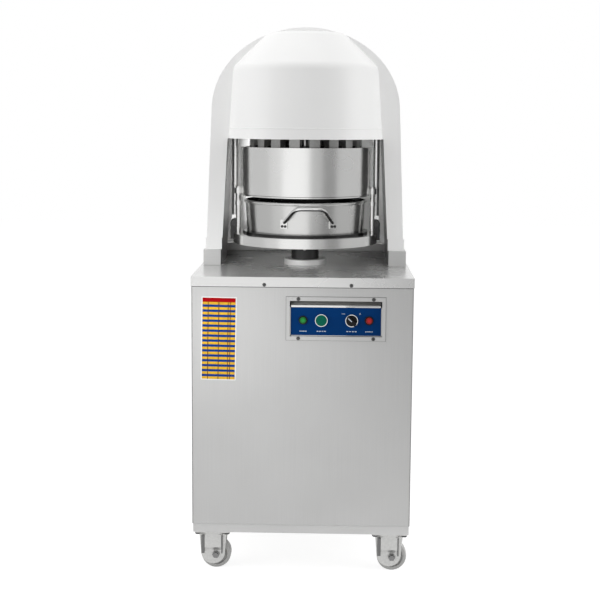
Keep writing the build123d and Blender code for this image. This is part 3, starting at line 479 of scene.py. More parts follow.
@dataclass(frozen=True)
class RowPrint(Finish):
    """Printed table with a header band, rows in two colours and thin column lines."""

    WEAR_SCALE: ClassVar[Point] = (60.0, 60.0, 260.0)
    WEAR_DETAIL: ClassVar[float] = 3.0
    WORN_DARK: ClassVar[float] = 0.85
    WORN_LIGHT: ClassVar[float] = 1.1

    centre: Point = (0.0, 0.0, 0.0)
    height: float = 0.194
    half_width: float = 0.039
    turn: float = 0.0
    row_count: int = 31
    header_rows: float = 1.7
    header: Colour = (0.31, 0.0, 0.003)
    second: Colour = (0.004, 0.04, 0.21)
    line: Colour = (0.05, 0.03, 0.02)
    column_places: tuple[float, ...] = (-0.0255, -0.0005, 0.0215, 0.0265)
    line_half_width: float = 0.001
    line_share: float = 0.9
    margin: Colour = (0.72, 0.72, 0.71)
    gloss: float = 0.1

    def paint(self, graph: MaterialGraph) -> None:
        """Add the rows, the header and the lines, in the plate's own axes.

        Args:
            graph: Graph of the material.
        """
        axes = graph.local_axes(self.centre, self.turn)
        worn = graph.noise(self.WEAR_SCALE, self.WEAR_DETAIL)
        pitch = self.height / (self.row_count + self.header_rows)
        below_top = graph.math("SUBTRACT", self.height / 2, axes["Z"])
        row = graph.math("SUBTRACT", graph.math("DIVIDE", below_top, pitch), self.header_rows)
        odd = graph.math("GREATER_THAN", graph.math("FLOORED_MODULO", row, 2.0), 1.0)
        dark, light = scaled(self.base, self.WORN_DARK), scaled(self.base, self.WORN_LIGHT)
        rows = graph.mix(odd, graph.shades(worn, dark, light), self.second)
        lines = graph.math("MULTIPLY", self.column_lines(graph, axes["X"]), self.line_share)
        lined = graph.mix(lines, rows, self.line)
        headed = graph.mix(graph.math("LESS_THAN", row, 0.0), lined, self.header)
        beside = graph.math("GREATER_THAN", graph.math("ABSOLUTE", axes["X"]), self.half_width)
        beyond = graph.math("GREATER_THAN", graph.math("ABSOLUTE", axes["Z"]), self.height / 2)
        graph.feed(graph.shader, {
            "Base Color": graph.mix(graph.math("MAXIMUM", beside, beyond), headed, self.margin),
            "Roughness": graph.vary(worn, self.roughness, self.GLOSS_SPREAD),
            "Specular IOR Level": self.gloss,
        })

    def column_lines(self, graph: MaterialGraph, across: Socket) -> Socket:
        """Lay the lines between the columns.

        Args:
            graph: Graph of the material.
            across: Place across the plate.

        Returns:
            Value that is 1 on a line.
        """
        lines: SocketValue = 0.0
        for place in self.column_places:
            column = graph.math("COMPARE", across, place, self.line_half_width)
            lines = graph.math("MAXIMUM", lines, column)
        return lines


FRONT_SHEET = Metal("front_sheet", (0.53, 0.53, 0.526), 0.42, Grain.UPRIGHT, metallic=0.5, spread=0.025)
SIDE_SHEET = Metal("side_sheet", (0.54, 0.54, 0.536), 0.42, Grain.UPRIGHT, metallic=0.5, spread=0.025)
TOP_SHEET = Metal(
    "top_sheet", (0.7, 0.7, 0.695), 0.26, Grain.LEVEL, metallic=0.78, spread=0.025, relief=0.015
)
PLINTH_SHEET = Metal("plinth_sheet", (0.6, 0.6, 0.595), 0.36, Grain.LEVEL, metallic=0.6, spread=0.025)
INNER_SHEET = Metal("inner_sheet", (0.5, 0.5, 0.49), 0.4, Grain.DEEP, metallic=0.7, spread=0.03)
LID_SHEET = Metal("lid_sheet", (0.42, 0.42, 0.41), 0.4, Grain.LEVEL, metallic=0.4, spread=0.03)
FRAME_PAINT = Coating("frame_paint", (0.7, 0.7, 0.695), 0.5, texture=500.0)
WHITE_SHELL = Coating(
    "white_shell", (0.85, 0.85, 0.845), 0.3, texture=700.0, relief=0.02, cloud=0.01, coat=0.2
)
COVER_SHELL = Coating(
    "cover_shell", (0.92, 0.92, 0.915), 0.3, texture=700.0, relief=0.02, cloud=0.01, coat=0.2
)
COLUMN_PAINT = Coating(
    "column_paint", (0.13, 0.13, 0.13), 0.36, texture=500.0, relief=0.03, cloud=0.08, gloss=0.4
)
BRIGHT_STEEL = Metal("bright_steel", (0.76, 0.76, 0.75), 0.12, Grain.TURNED)
ROD_STEEL = Metal("rod_steel", (0.95, 0.95, 0.94), 0.24, Grain.UPRIGHT, metallic=0.9, spread=0.02)
# Dark steel of pins, bolts and washers, and painted shade on the pan's rivets and in the press ring's
# groove.
DARK_STEEL_AND_SHADE = Metal("dark_steel_and_shade", (0.07, 0.07, 0.07), 0.3, Grain.CAST, metallic=0.9)
RING_STEEL = Metal("ring_steel", (0.87, 0.87, 0.86), 0.26, Grain.TURNED, spread=0.015, relief=0.03)
# Painted shade: the faces of the pan turned towards its axis are dark.
PAN_STEEL = InsideShadedMetal("pan_steel", (0.7, 0.7, 0.69), 0.25, Grain.TURNED, spread=0.02, relief=0.03)
# Painted shade: the platform's lugs outside its rim are dark.
PLATFORM_STEEL = RimShadedMetal(
    "platform_steel", (0.82, 0.82, 0.81), 0.23, Grain.TURNED, spread=0.02, relief=0.03
)
# Painted shade: the pedestal's neck above its flange is dark.
PEDESTAL_STEEL = RimShadedMetal(
    "pedestal_steel", (0.92, 0.92, 0.91), 0.4, Grain.TURNED, metallic=0.3,
    radius=FLANGE_RADIUS, top_z=FLANGE_TOP,
)
TOOL_STEEL = Metal("tool_steel", (0.34, 0.34, 0.35), 0.35, Grain.UPRIGHT)
KNIFE_STEEL = Metal("knife_steel", (0.12, 0.12, 0.12), 0.4, Grain.UPRIGHT)
PLUNGER_ALLOY = Metal("plunger_alloy", (0.5, 0.5, 0.49), 0.42, Grain.CAST, metallic=0.85)
CAST_HOUSING = Coating("cast_housing", (0.25, 0.27, 0.3), 0.5, texture=250.0, relief=0.25)
TANK_PAINT = Coating("tank_paint", (0.08, 0.08, 0.085), 0.45, texture=400.0, relief=0.15)
ZINC_PLATE = Metal("zinc_plate", (0.58, 0.58, 0.57), 0.36, Grain.CAST, metallic=0.6, spread=0.06)
AXLE_STEEL = Metal("axle_steel", (0.2, 0.2, 0.2), 0.26, Grain.CAST)
# Painted shade on the flanges beside the ribs of the caster forks.
SHADE_STRIP = Metal("shade_strip", (0.16, 0.16, 0.16), 0.34, Grain.UPRIGHT, metallic=0.8)
# Painted shade: the faces of the handle turned down are dark.
HANDLE_STEEL = UndersideShadedMetal("handle_steel", (0.86, 0.86, 0.85), 0.16, Grain.TURNED)
SCREW_STEEL = Metal("screw_steel", (0.12, 0.12, 0.12), 0.3, Grain.CAST, metallic=0.9, spread=0.1)
WHEEL_TREAD = Coating("wheel_tread", (0.5, 0.5, 0.49), 0.5, texture=300.0, relief=0.2)
BLUE_FACE = Coating(
    "blue_face", (0.001, 0.032, 0.135), 0.4, texture=700.0, relief=0.03, cloud=0.1, gloss=0.04
)
BLACK_MOULDING = Coating(
    "black_moulding", (0.006, 0.006, 0.007), 0.4, texture=800.0, relief=0.12, gloss=0.2
)
GREEN_CAP = Coating(
    "green_cap", (0.001, 0.1, 0.062), 0.32, texture=600.0, relief=0.05, cloud=0.1, gloss=0.1
)
WHITE_PRINT = Coating("white_print", (0.5, 0.55, 0.62), 0.5)
# Painted shade in the screws' slots.
SLOT_SHADE = Coating("slot_shade", (0.02, 0.02, 0.02), 0.6)
# Painted shade on the folded edges of the front panel.
FOLD_SHADE = Coating("fold_shade", (0.24, 0.24, 0.24), 0.5)
# Painted shade in the gaps under the top plate's lip and round the bezel.
SEAM_SHADE = Coating("seam_shade", (0.06, 0.06, 0.06), 0.6)


def body_of_node(node: str) -> str:
    """Name of the CAD body that a node belongs to."""
    bodies = frame["record"]["behaviour"]["bodies"]
    return next(body for body, nodes in bodies.items() if node in nodes)


def slot_of_node(node: str) -> str:
    """Name of the record's material slot for a node."""
    subparts = frame["record"]["subparts"]
    return next(part["material_slot"] for part in subparts if part["node"] == node)


def middle_of(node: str) -> Vector:
    """Middle of a node's box at rest."""
    low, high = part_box(node)
    return (low + high) / 2


def shade_by_angle(mesh: Mesh) -> None:
    """Smooth every face and keep the sharp edges sharp.

    Args:
        mesh: The mesh to shade.
    """
    for face in mesh.faces:
        face.smooth = True
    for edge in mesh.edges:
        edge.smooth = len(edge.link_faces) == 2 and edge.calc_face_angle(pi) < SHARP_ANGLE


def object_of(mesh: Mesh, name: str, material: bpy.types.Material) -> bpy.types.Object:
    """Turn a mesh into an object of the scene.

    Args:
        mesh: The modelled mesh, which is freed.
        name: Name of the object.
        material: Its material.

    Returns:
        The new object.
    """
    data = bpy.data.meshes.new(name)
    mesh.to_mesh(data)
    mesh.free()
    data.materials.append(material)
    made = bpy.data.objects.new(name, data)
    bpy.context.scene.collection.objects.link(made)
    return made


def deliver(mesh: Mesh, name: str, body: str, finish: Finish, slot: str) -> bpy.types.Object:
    """Turn a modelled mesh into a piece that rides on a body.

    Args:
        mesh: The modelled mesh, which is freed.
        name: Name of the piece.
        body: CAD body that it rides on.
        finish: Its surface.
        slot: Not used.

    Returns:
        The new piece.
    """
    shade_by_angle(mesh)
    piece = object_of(mesh, name, finish.material())
    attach(piece, body)
    LOG.info("piece %s on %s: %d faces", name, body, len(piece.data.polygons))
    return piece


def merge_doubles(mesh: Mesh) -> None:
    """Merge doubled points."""
    bmesh.ops.remove_doubles(mesh, verts=mesh.verts, dist=MERGE_DISTANCE)


def face_outwards(mesh: Mesh) -> None:
    """Turn the faces outwards."""
    bmesh.ops.recalc_face_normals(mesh, faces=mesh.faces)


def close_up(mesh: Mesh) -> None:
    """Merge doubled points and turn the faces outwards."""
    merge_doubles(mesh)
    face_outwards(mesh)


def island_of(start: Vert) -> set[Vert]:
    """Collect the points that edges join to a point.

    Args:
        start: The point to start from.

    Returns:
        All the joined points.
    """
    island, waiting = {start}, [start]
    while waiting:
        point = waiting.pop()
        found = {edge.other_vert(point) for edge in point.link_edges} - island
        island |= found
        waiting.extend(found)
    return island


def edges_of(points: list[Vert]) -> list[Edge]:
    """Collect the edges between points.

    Args:
        points: The points.

    Returns:
        Every edge with both ends among them, each once.
    """
    chosen = set(points)
    edges = dict.fromkeys(edge for point in points for edge in point.link_edges)
    return [edge for edge in edges if chosen.issuperset(edge.verts)]


def round_edges(mesh: Mesh, edges: list[Edge], radius: float, segments: int) -> None:
    """Round edges.

    Args:
        mesh: Mesh that holds the edges.
        edges: The edges to round.
        radius: Their new radius.
        segments: Number of faces across a rounded edge.
    """
    bmesh.ops.bevel(
        mesh, geom=edges, offset=radius, segments=segments, profile=0.5, affect="EDGES", material=-1
    )


def add_block(
    mesh: Mesh, centre: Vector, size: Point, turn: float = 0.0, axis: str = "Y"
) -> list[Vert]:
    """Add a block.

    Args:
        mesh: Mesh to add to.
        centre: Middle of the block.
        size: Its size along X, Y and Z.
        turn: Turn in radians.
        axis: Axis of the turn.

    Returns:
        The block's points.
    """
    place = Matrix.Translation(centre) @ Matrix.Rotation(turn, 4, axis) @ Matrix.Diagonal((*size, 1.0))
    return bmesh.ops.create_cube(mesh, size=1.0, matrix=place)["verts"]


def add_bar(
    mesh: Mesh, centre: Vector, size: Point, radius: float,
    segments: int = 1, turn: float = 0.0, axis: str = "Y",
) -> None:
    """Add a block with rounded edges.

    Args:
        mesh: Mesh to add to.
        centre: Middle of the block.
        size: Its size along X, Y and Z.
        radius: Radius of its edges.
        segments: Number of faces across a rounded edge.
        turn: Turn in radians.
        axis: Axis of the turn.
    """
    corners = add_block(mesh, centre, size, turn, axis)
    round_edges(mesh, edges_of(corners), radius, segments)


def add_lathe(mesh: Mesh, outline: Outline, place: Matrix, steps: int) -> None:
    """Add a solid of revolution.

    Args:
        mesh: Mesh to add to.
        outline: Distances from the axis and heights along it.
        place: Where the axis stands, from the Z axis at the origin.
        steps: Number of steps round the axis.
    """
    points = [mesh.verts.new((radius, 0.0, height)) for radius, height in outline]
    edges = [mesh.edges.new(pair) for pair in zip(points, points[1:])]
    before = set(mesh.verts) - set(points)
    bmesh.ops.spin(
        mesh, geom=points + edges, cent=(0, 0, 0), axis=(0, 0, 1), angle=2 * pi, steps=steps,
        use_merge=True,
    )
    made = [point for point in mesh.verts if point not in before]
    bmesh.ops.transform(mesh, matrix=place, verts=made)


@dataclass
class SubAssembly:
    """Nodes that are finished together, some with rounded edges."""

    finishes: dict[str, Finish] = field(default_factory=dict)
    edge_radii: dict[str, float] = field(default_factory=dict)

    def dress(self) -> None:
        """Give each node its finish, on a copy with rounded edges where one is asked for."""
        for node, finish in self.finishes.items():
            if node in self.edge_radii:
                self.round_copy(node, finish, self.edge_radii[node])
            else:
                self.coat_node(node, finish)

    def coat_node(self, node: str, finish: Finish) -> None:
        """Put a finish on a CAD node.

        Args:
            node: The CAD node.
            finish: Its surface.
        """
        data = frame["nodes"][node].data
        data.materials.clear()
        data.materials.append(finish.material())
        LOG.info("node %s: %s", node, finish.name)

    def round_copy(self, node: str, finish: Finish, radius: float) -> None:
        """Stand a copy with rounded edges in for a node.

        Args:
            node: The CAD node.
            finish: Its surface.
            radius: Radius of its edges.
        """
        mesh = bmesh.new()
        mesh.from_mesh(frame["nodes"][node].data)
        merge_doubles(mesh)
        bmesh.ops.dissolve_limit(mesh, angle_limit=FLAT_ANGLE, verts=mesh.verts, edges=mesh.edges)
        piece = deliver(mesh, f"{node}_rounded", body_of_node(node), finish, slot_of_node(node))
        rounding = piece.modifiers.new("rounding", "BEVEL")
        rounding.width = radius
        rounding.segments = ROUNDING_SEGMENTS
        rounding.limit_method = "ANGLE"
        rounding.angle_limit = SHARP_ANGLE
        rounding.harden_normals = True
        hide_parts(node)

    def build(self) -> None:
        """Model the new pieces of this sub-assembly."""


@dataclass
class Cabinet(SubAssembly):
    """Stainless cabinet with its base frame, screws and printed chart."""

    chart_left: float = -0.235
    chart_right: float = -0.157
    chart_low: float = 0.480
    chart_high: float = 0.674
    chart_margin: float = 0.0024
    chart_thickness: float = 0.0005
    chart_corner: float = 0.0012
    chart_corner_segments: int = 3
    chart_turn: float = radians(0.8)
    chart_yellow: Colour = (0.66, 0.38, 0.028)
    chart_roughness: float = 0.4
    slot_length: float = 0.0042
    slot_width: float = 0.0009
    slot_depth: float = 0.0004
    slot_sink: float = 0.00016
    slot_turns: tuple[float, ...] = (radians(45), radians(135))
    washer_outline: Outline = (
        (0.0, 0.0),
        (0.0044, 0.0),
        (0.0044, 0.0005),
        (0.0038, 0.0009),
        (0.0, 0.0009),
    )
    washer_steps: int = 24
    head_height: float = 0.002
    seam_height: float = 0.0015
    seam_depth: float = 0.0006
    fold_width: float = 0.0018

    def build(self) -> None:
        """Model the chart, the screws' slots and washers, the seam and the folds, with painted shade in
        the slots, the seam and on the folds.
        """
        self.build_chart()
        self.build_slots()
        self.build_washers()
        self.build_seam()
        self.build_folds()

    def build_chart(self) -> None:
        """Model the thin printed plate with rounded corners on the front panel."""
        face_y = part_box("front_panel")[0].y
        width, height = self.chart_right - self.chart_left, self.chart_high - self.chart_low
        border = 2 * self.chart_margin
        size = (width + border, self.chart_thickness, height + border)
        centre = Vector((
            (self.chart_left + self.chart_right) / 2,
            face_y - self.chart_thickness / 2,
            (self.chart_low + self.chart_high) / 2,
        ))
        mesh = bmesh.new()
        edges = edges_of(add_block(mesh, centre, size, self.chart_turn))
        through = [
            edge for edge in edges
            if abs((edge.verts[0].co - edge.verts[1].co).y) > self.chart_thickness / 2
        ]
        round_edges(mesh, through, self.chart_corner, self.chart_corner_segments)
        close_up(mesh)
        rows = RowPrint(
            "row_print", self.chart_yellow, self.chart_roughness, tuple(centre), height, width / 2,
            self.chart_turn,
        )
        deliver(mesh, "chart_plate", "machine", rows, slot_of_node("control_panel"))

    def screw_faces(self) -> list[tuple[Vector, float]]:
        """Find the heads of the screws.

        Returns:
            Middle of each head's face, and the way that it faces along Y.
        """
        mesh = bmesh.new()
        mesh.from_mesh(frame["nodes"]["panel_screws"].data)
        merge_doubles(mesh)
        heads = []
        seen: set[Vert] = set()
        for start in mesh.verts:
            if start not in seen:
                island = island_of(start)
                seen |= island
                spans = [[point.co[axis] for point in island] for axis in range(3)]
                (x_low, y_low, z_low), (x_high, y_high, z_high) = map(min, spans), map(max, spans)
                facing = -1.0 if y_high < 0 else 1.0
                face_y = y_low if facing < 0 else y_high
                middle = Vector(((x_low + x_high) / 2, face_y, (z_low + z_high) / 2))
                heads.append((middle, facing))
        mesh.free()
        return heads

    def build_slots(self) -> None:
        """Model the crossed slots on the screw heads as dark blocks, painted shade of the slots."""
        mesh = bmesh.new()
        size = (self.slot_length, self.slot_depth, self.slot_width)
        for middle, facing in self.screw_faces():
            centre = middle - Vector((0, facing * self.slot_sink, 0))
            for turn in self.slot_turns:
                add_block(mesh, centre, size, turn)
        face_outwards(mesh)
        deliver(mesh, "screw_slots", "machine", SLOT_SHADE, slot_of_node("lamp_bezels"))

    def build_washers(self) -> None:
        """Model the dark washers under the screw heads of the front."""
        mesh = bmesh.new()
        for middle, facing in self.screw_faces():
            if facing < 0:
                foot = middle + Vector((0, self.head_height, 0))
                place = Matrix.Translation(foot) @ Matrix.Rotation(pi / 2, 4, "X")
                add_lathe(mesh, self.washer_outline, place, self.washer_steps)
        close_up(mesh)
        deliver(mesh, "screw_washers", "machine", DARK_STEEL_AND_SHADE, slot_of_node("panel_screws"))

    def build_seam(self) -> None:
        """Model the dark line of painted shade under the lip of the top plate, on the front panel."""
        low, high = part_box("front_panel")
        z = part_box("top_plate")[0].z - self.seam_height / 2
        centre = Vector(((low.x + high.x) / 2, low.y - self.seam_depth / 2, z))
        size = (high.x - low.x, self.seam_depth, self.seam_height)
        mesh = bmesh.new()
        add_bar(mesh, centre, size, self.seam_depth * SOFT_EDGE)
        close_up(mesh)
        deliver(mesh, "lip_shade_line", "machine", SEAM_SHADE, slot_of_node("lamp_bezels"))

    def build_folds(self) -> None:
        """Model the narrow folds down both edges of the front panel, painted darker as shade."""
        low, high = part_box("front_panel")
        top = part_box("top_plate")[0].z - self.seam_height
        size = (self.fold_width, self.seam_depth, top - low.z)
        mesh = bmesh.new()
        for x in (low.x + self.fold_width / 2, high.x - self.fold_width / 2):
            centre = Vector((x, low.y - self.seam_depth / 2, (low.z + top) / 2))
            add_bar(mesh, centre, size, self.seam_depth * SOFT_EDGE)
        close_up(mesh)
        deliver(mesh, "panel_folds", "machine", FOLD_SHADE, slot_of_node("front_panel"))


@dataclass
class Controls(SubAssembly):
    """Blue control panel with its lamps, start button, selector knob and plain marks."""

    caption_nodes: tuple[str, ...] = (
        "run_lamp_lens", "start_button", "selector_knob", "stop_lamp_lens"
    )
    caption_lengths: tuple[float, ...] = (0.018, 0.023, 0.026, 0.019)
    caption_drop: float = 0.0265
    caption_height: float = 0.0021
    caption_dashes: int = 4
    caption_fill: float = 0.68
    dash_rise: float = 0.0155
    dash_length: float = 0.0085
    tick_height: float = 0.0042
    mark_reach: float = 0.0195
    mark_width: float = 0.0012
    pointer_length: float = 0.0115
    pointer_width: float = 0.0022
    pointer_thickness: float = 2 * PRINT_THICKNESS
    pointer_turn: float = radians(-45)
    lid_bead_height: float = 0.0058
    lid_bead_depth: float = 0.011
    lid_bead_radius: float = 0.00136
    side_bar_width: float = 0.0017
    side_bar_depth: float = 0.004
    side_bar_proud: float = 0.0006
    trim_segments: int = 3
    lid_sheet: float = 0.001
    lid_run: float = 0.013
    lid_rise: float = 0.0135
    seam_width: float = 0.0007
    seam_edge: float = 0.00014

    def build(self) -> None:
        """Model the marks, the knob's pointer, the bright trim, the lid and the line of painted shade
        round the bezel.
        """
        self.build_marks()
        self.build_pointer()
        self.build_trim()
        self.build_lid()
        self.build_seam()

    def build_marks(self) -> None:
        """Model the plain bars below the controls, and a dash and a tick beside the knob."""
        face_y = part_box("control_panel")[0].y - PRINT_THICKNESS / 2
        mesh = bmesh.new()
        for node, length in zip(self.caption_nodes, self.caption_lengths):
            place = middle_of(node)
            step = length / self.caption_dashes
            size = (step * self.caption_fill, PRINT_THICKNESS, self.caption_height)
            for number in range(self.caption_dashes):
                x = place.x - length / 2 + (number + 0.5) * step
                add_block(mesh, Vector((x, face_y, place.z - self.caption_drop)), size)
        knob = middle_of("selector_knob")
        dash = Vector((knob.x - self.mark_reach, face_y, knob.z + self.dash_rise))
        add_block(mesh, dash, (self.dash_length, PRINT_THICKNESS, self.mark_width))
        tick = Vector((knob.x + self.mark_reach, face_y, knob.z + self.dash_rise))
        add_block(mesh, tick, (self.mark_width, PRINT_THICKNESS, self.tick_height))
        add_block(mesh, tick, (self.tick_height, PRINT_THICKNESS, self.mark_width))
        face_outwards(mesh)
        deliver(mesh, "panel_marks", "machine", WHITE_PRINT, slot_of_node("hood_visor"))

    def build_pointer(self) -> None:
        """Model the white inlay along one half of the knob's grip."""
        knob = middle_of("selector_knob")
        face_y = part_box("selector_knob")[0].y
        along = Vector((sin(self.pointer_turn), 0, cos(self.pointer_turn)))
        centre = Vector((knob.x, face_y, knob.z)) + along * self.pointer_length / 2
        size = (self.pointer_width, self.pointer_thickness, self.pointer_length)
        mesh = bmesh.new()
        add_bar(mesh, centre, size, self.pointer_thickness * SOFT_EDGE, turn=self.pointer_turn)
        close_up(mesh)
        deliver(mesh, "knob_pointer", "selector", WHITE_PRINT, slot_of_node("hood_visor"))

    def build_trim(self) -> None:
        """Model the bright folded edges of the control box round the blue panel."""
        low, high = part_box("control_panel")
        box_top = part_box("control_box")[1].z
        front_y = low.y - self.side_bar_proud
        bar_y, bead_y = front_y + self.side_bar_depth / 2, front_y + self.lid_bead_depth / 2
        half_bar, bar_edge = self.side_bar_width / 2, self.side_bar_width * SOFT_EDGE
        middle_x, width = (low.x + high.x) / 2, high.x - low.x
        middle_z, height = (low.z + box_top) / 2, box_top - low.z
        bead = (width, self.lid_bead_depth, self.lid_bead_height)
        level = (width, self.side_bar_depth, self.side_bar_width)
        upright = (self.side_bar_width, self.side_bar_depth, height)
        bars = (
            ((middle_x, bead_y, box_top + self.lid_bead_height / 2), bead, self.lid_bead_radius),
            ((middle_x, bar_y, low.z - half_bar), level, bar_edge),
            ((low.x - half_bar, bar_y, middle_z), upright, bar_edge),
            ((high.x + half_bar, bar_y, middle_z), upright, bar_edge),
        )
        mesh = bmesh.new()
        for centre, size, radius in bars:
            add_bar(mesh, Vector(centre), size, radius, self.trim_segments)
        face_outwards(mesh)
        deliver(mesh, "control_trim", "machine", BRIGHT_STEEL, slot_of_node("control_box"))

    def build_lid(self) -> None:
        """Model the sloping sheet that closes the control box behind its bright edge."""
        low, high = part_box("control_panel")
        foot_y, foot_z = low.y + self.lid_bead_depth / 2, high.z + self.lid_bead_height / 2
        foot = Vector(((low.x + high.x) / 2, foot_y, foot_z))
        middle = foot + Vector((0.0, self.lid_run / 2, self.lid_rise / 2))
        slope = atan2(self.lid_rise, self.lid_run)
        size = (high.x - low.x, hypot(self.lid_run, self.lid_rise), self.lid_sheet)
        mesh = bmesh.new()
        add_bar(mesh, middle, size, self.lid_sheet * SOFT_EDGE, turn=slope, axis="X")
        close_up(mesh)
        deliver(mesh, "box_lid", "machine", LID_SHEET, slot_of_node("control_box"))

    def build_seam(self) -> None:
        """Model the thin dark line round the bezel on the front panel, painted shade of the gap."""
        low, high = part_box("control_bezel")
        middle = (low + high) / 2
        half = self.seam_width / 2
        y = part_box("front_panel")[0].y - half
        level = (high.x - low.x + 2 * self.seam_width, self.seam_width, self.seam_width)
        upright = (self.seam_width, self.seam_width, high.z - low.z)
        bars = (
            ((middle.x, y, low.z - half), level),
            ((middle.x, y, high.z + half), level),
            ((low.x - half, y, middle.z), upright),
            ((high.x + half, y, middle.z), upright),
        )
        mesh = bmesh.new()
        for centre, size in bars:
            add_bar(mesh, Vector(centre), size, self.seam_edge)
        face_outwards(mesh)
        deliver(mesh, "bezel_shade_line", "machine", SEAM_SHADE, slot_of_node("lamp_bezels"))


@dataclass
class Covers(SubAssembly):
    """White covers: band, back cover, arch and visor with its moulded bead."""

    bead_rise: float = 0.026
    bead_radius: float = 0.0014
    bead_sink: float = 0.0006
    visor_slope: float = 0.012 / 0.177
    bead_steps: int = 72
    bead_sides: int = 10

    def build(self) -> None:
        """Model the bead round the foot of the visor."""
        low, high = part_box("hood_visor")
        radius = -low.y - self.visor_slope * self.bead_rise - self.bead_sink
        half_turn = acos(-high.y / radius)
        front = Matrix.Translation((0, -radius, low.z + self.bead_rise))
        mesh = bmesh.new()
        section = bmesh.ops.create_circle(
            mesh, cap_ends=True, segments=self.bead_sides, radius=self.bead_radius,
            matrix=front @ Matrix.Rotation(pi / 2, 4, "Y"),
        )["verts"]
        start = Matrix.Rotation(-half_turn, 3, "Z")
        bmesh.ops.rotate(mesh, cent=(0, 0, 0), matrix=start, verts=section)
        bmesh.ops.spin(
            mesh, geom=section + edges_of(section) + list(mesh.faces), cent=(0, 0, 0),
            axis=(0, 0, 1), angle=2 * half_turn, steps=self.bead_steps,
        )
        close_up(mesh)
        deliver(mesh, "visor_bead", "machine", WHITE_SHELL, slot_of_node("hood_visor"))


@dataclass
class PressFrame(SubAssembly):
    """Columns, tie rods, posts, platform and pedestal with its grease fitting."""

    neck_radius: float = 0.035
    fitting_drop: float = 0.014
    fitting_outline: Outline = (
        (0.0, -0.002),
        (0.0055, -0.002),
        (0.0055, 0.005),
        (0.0035, 0.006),
        (0.0035, 0.010),
        (0.0048, 0.012),
        (0.0048, 0.015),
        (0.0028, 0.0175),
        (0.0, 0.018),
    )
    fitting_steps: int = 24

    def build(self) -> None:
        """Model the grease fitting at the front of the pedestal."""
        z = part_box("pedestal")[1].z - self.fitting_drop
        place = Matrix.Translation((0, -self.neck_radius, z)) @ Matrix.Rotation(pi / 2, 4, "X")
        mesh = bmesh.new()
        add_lathe(mesh, self.fitting_outline, place, self.fitting_steps)
        close_up(mesh)
        deliver(mesh, "grease_fitting", "machine", BRIGHT_STEEL, slot_of_node("tie_rods"))


@dataclass
class PressHead(SubAssembly):
    """Ram, knives, plungers and the press ring with the lip at its lower edge."""

    lip_width: float = 0.004
    lip_step: float = 0.0018
    lip_height: float = 0.0032
    groove_step: float = 0.003
    groove_height: float = 0.0012
    lip_steps: int = 96

    def build(self) -> None:
        """Model the lip, and the groove above it dark with painted shade, outside the pan's rim when
        the ring is down.
        """
        low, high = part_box("press_ring")
        reach = (high.y - low.y) / 2
        inside = reach - self.lip_step - self.lip_width
        groove_low = low.z - self.groove_height
        lip_low = groove_low - self.lip_height
        # The groove is dark with painted shade under the ring's lower edge.
        self.build_band("ring_groove_shade", inside, reach - self.groove_step, groove_low, low.z, DARK_STEEL_AND_SHADE)
        self.build_band("ring_lip", inside, reach - self.lip_step, lip_low, groove_low, RING_STEEL)

    def build_band(
        self, name: str, inside: float, outside: float, low: float, high: float, finish: Finish
    ) -> None:
        """Add a level band round the axis of the press ring.

        Args:
            name: Name of the piece.
            inside: Its inner radius.
            outside: Its outer radius.
            low: Its lower level.
            high: Its upper level.
            finish: Its surface.
        """
        mesh = bmesh.new()
        outline = ((inside, high), (inside, low), (outside, low), (outside, high), (inside, high))
        add_lathe(mesh, outline, Matrix.Identity(4), self.lip_steps)
        close_up(mesh)
        deliver(mesh, name, body_of_node("press_ring"), finish, slot_of_node("press_ring"))


@dataclass
class PanSet(SubAssembly):
    """Round pan with its riveted handle."""


@dataclass
class PowerPack(SubAssembly):
    """Oil tank, motor, pump and pipe inside the cabinet."""


@dataclass
class Casters(SubAssembly):
    """Swivel casters, with dark strips of painted shade on the flanges beside the ribs of their forks.
    """

    rib_half: float = 0.02
    rib_height: float = 0.005
    wide_strip: float = 0.008
    narrow_strip: float = 0.003
    strip_gap: float = 0.0004
    strip_proud: float = 0.0006
    strip_sink: float = 0.0004
    strip_edge: float = 0.0002
    strip_low: float = 0.0395
    crown_gap: float = 0.012

    def build(self) -> None:
        """Model the dark strips of painted shade on both legs of each fork."""
        for place in CASTER_PLACES:
            self.build_strips(place)

    def build_strips(self, place: str) -> None:
        """Model the painted shade strips on one fork: a wide one left of each rib, a narrow one right
        of it.

        Args:
            place: Place of the caster.
        """
        node = f"fork_{place}"
        low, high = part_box(node)
        middle_x = (low.x + high.x) / 2
        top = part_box(f"wheel_{place}")[1].z + self.crown_gap
        z = (self.strip_low + top) / 2
        rib_side = self.rib_half + self.strip_gap
        depth = self.strip_proud + self.strip_sink
        mesh = bmesh.new()
        for rib_y, facing in ((low.y, -1), (high.y, 1)):
            face_y = rib_y - facing * self.rib_height
            y = face_y + facing * (self.strip_proud - depth / 2)
            for width, side in ((self.wide_strip, -1), (self.narrow_strip, 1)):
                centre = Vector((middle_x + side * (rib_side + width / 2), y, z))
                add_bar(mesh, centre, (width, depth, top - self.strip_low), self.strip_edge)
        close_up(mesh)
        deliver(mesh, f"rib_shade_strips_{place}", body_of_node(node), SHADE_STRIP, slot_of_node(node))


@dataclass(frozen=True)
class Lamp:
    """Soft lamp that lights matt surfaces and isn't seen, in polished steel either."""

    name: str
    place: Point
    size: Size
    power: float
    aim: Point = (0.0, 0.0, 0.8)
    spread: float = pi

    def build(self) -> None:
        """Add the lamp, turned to its aim."""
        data = bpy.data.lights.new(self.name, "AREA")
        data.shape = "RECTANGLE"
        data.size, data.size_y = self.size
        data.energy = self.power
        data.spread = self.spread
        lamp = bpy.data.objects.new(self.name, data)
        lamp.visible_glossy = False
        lamp.visible_camera = False
        bpy.context.scene.collection.objects.link(lamp)
        lamp.location = self.place
        lamp.rotation_euler = (Vector(self.aim) - lamp.location).to_track_quat("-Z", "Y").to_euler()


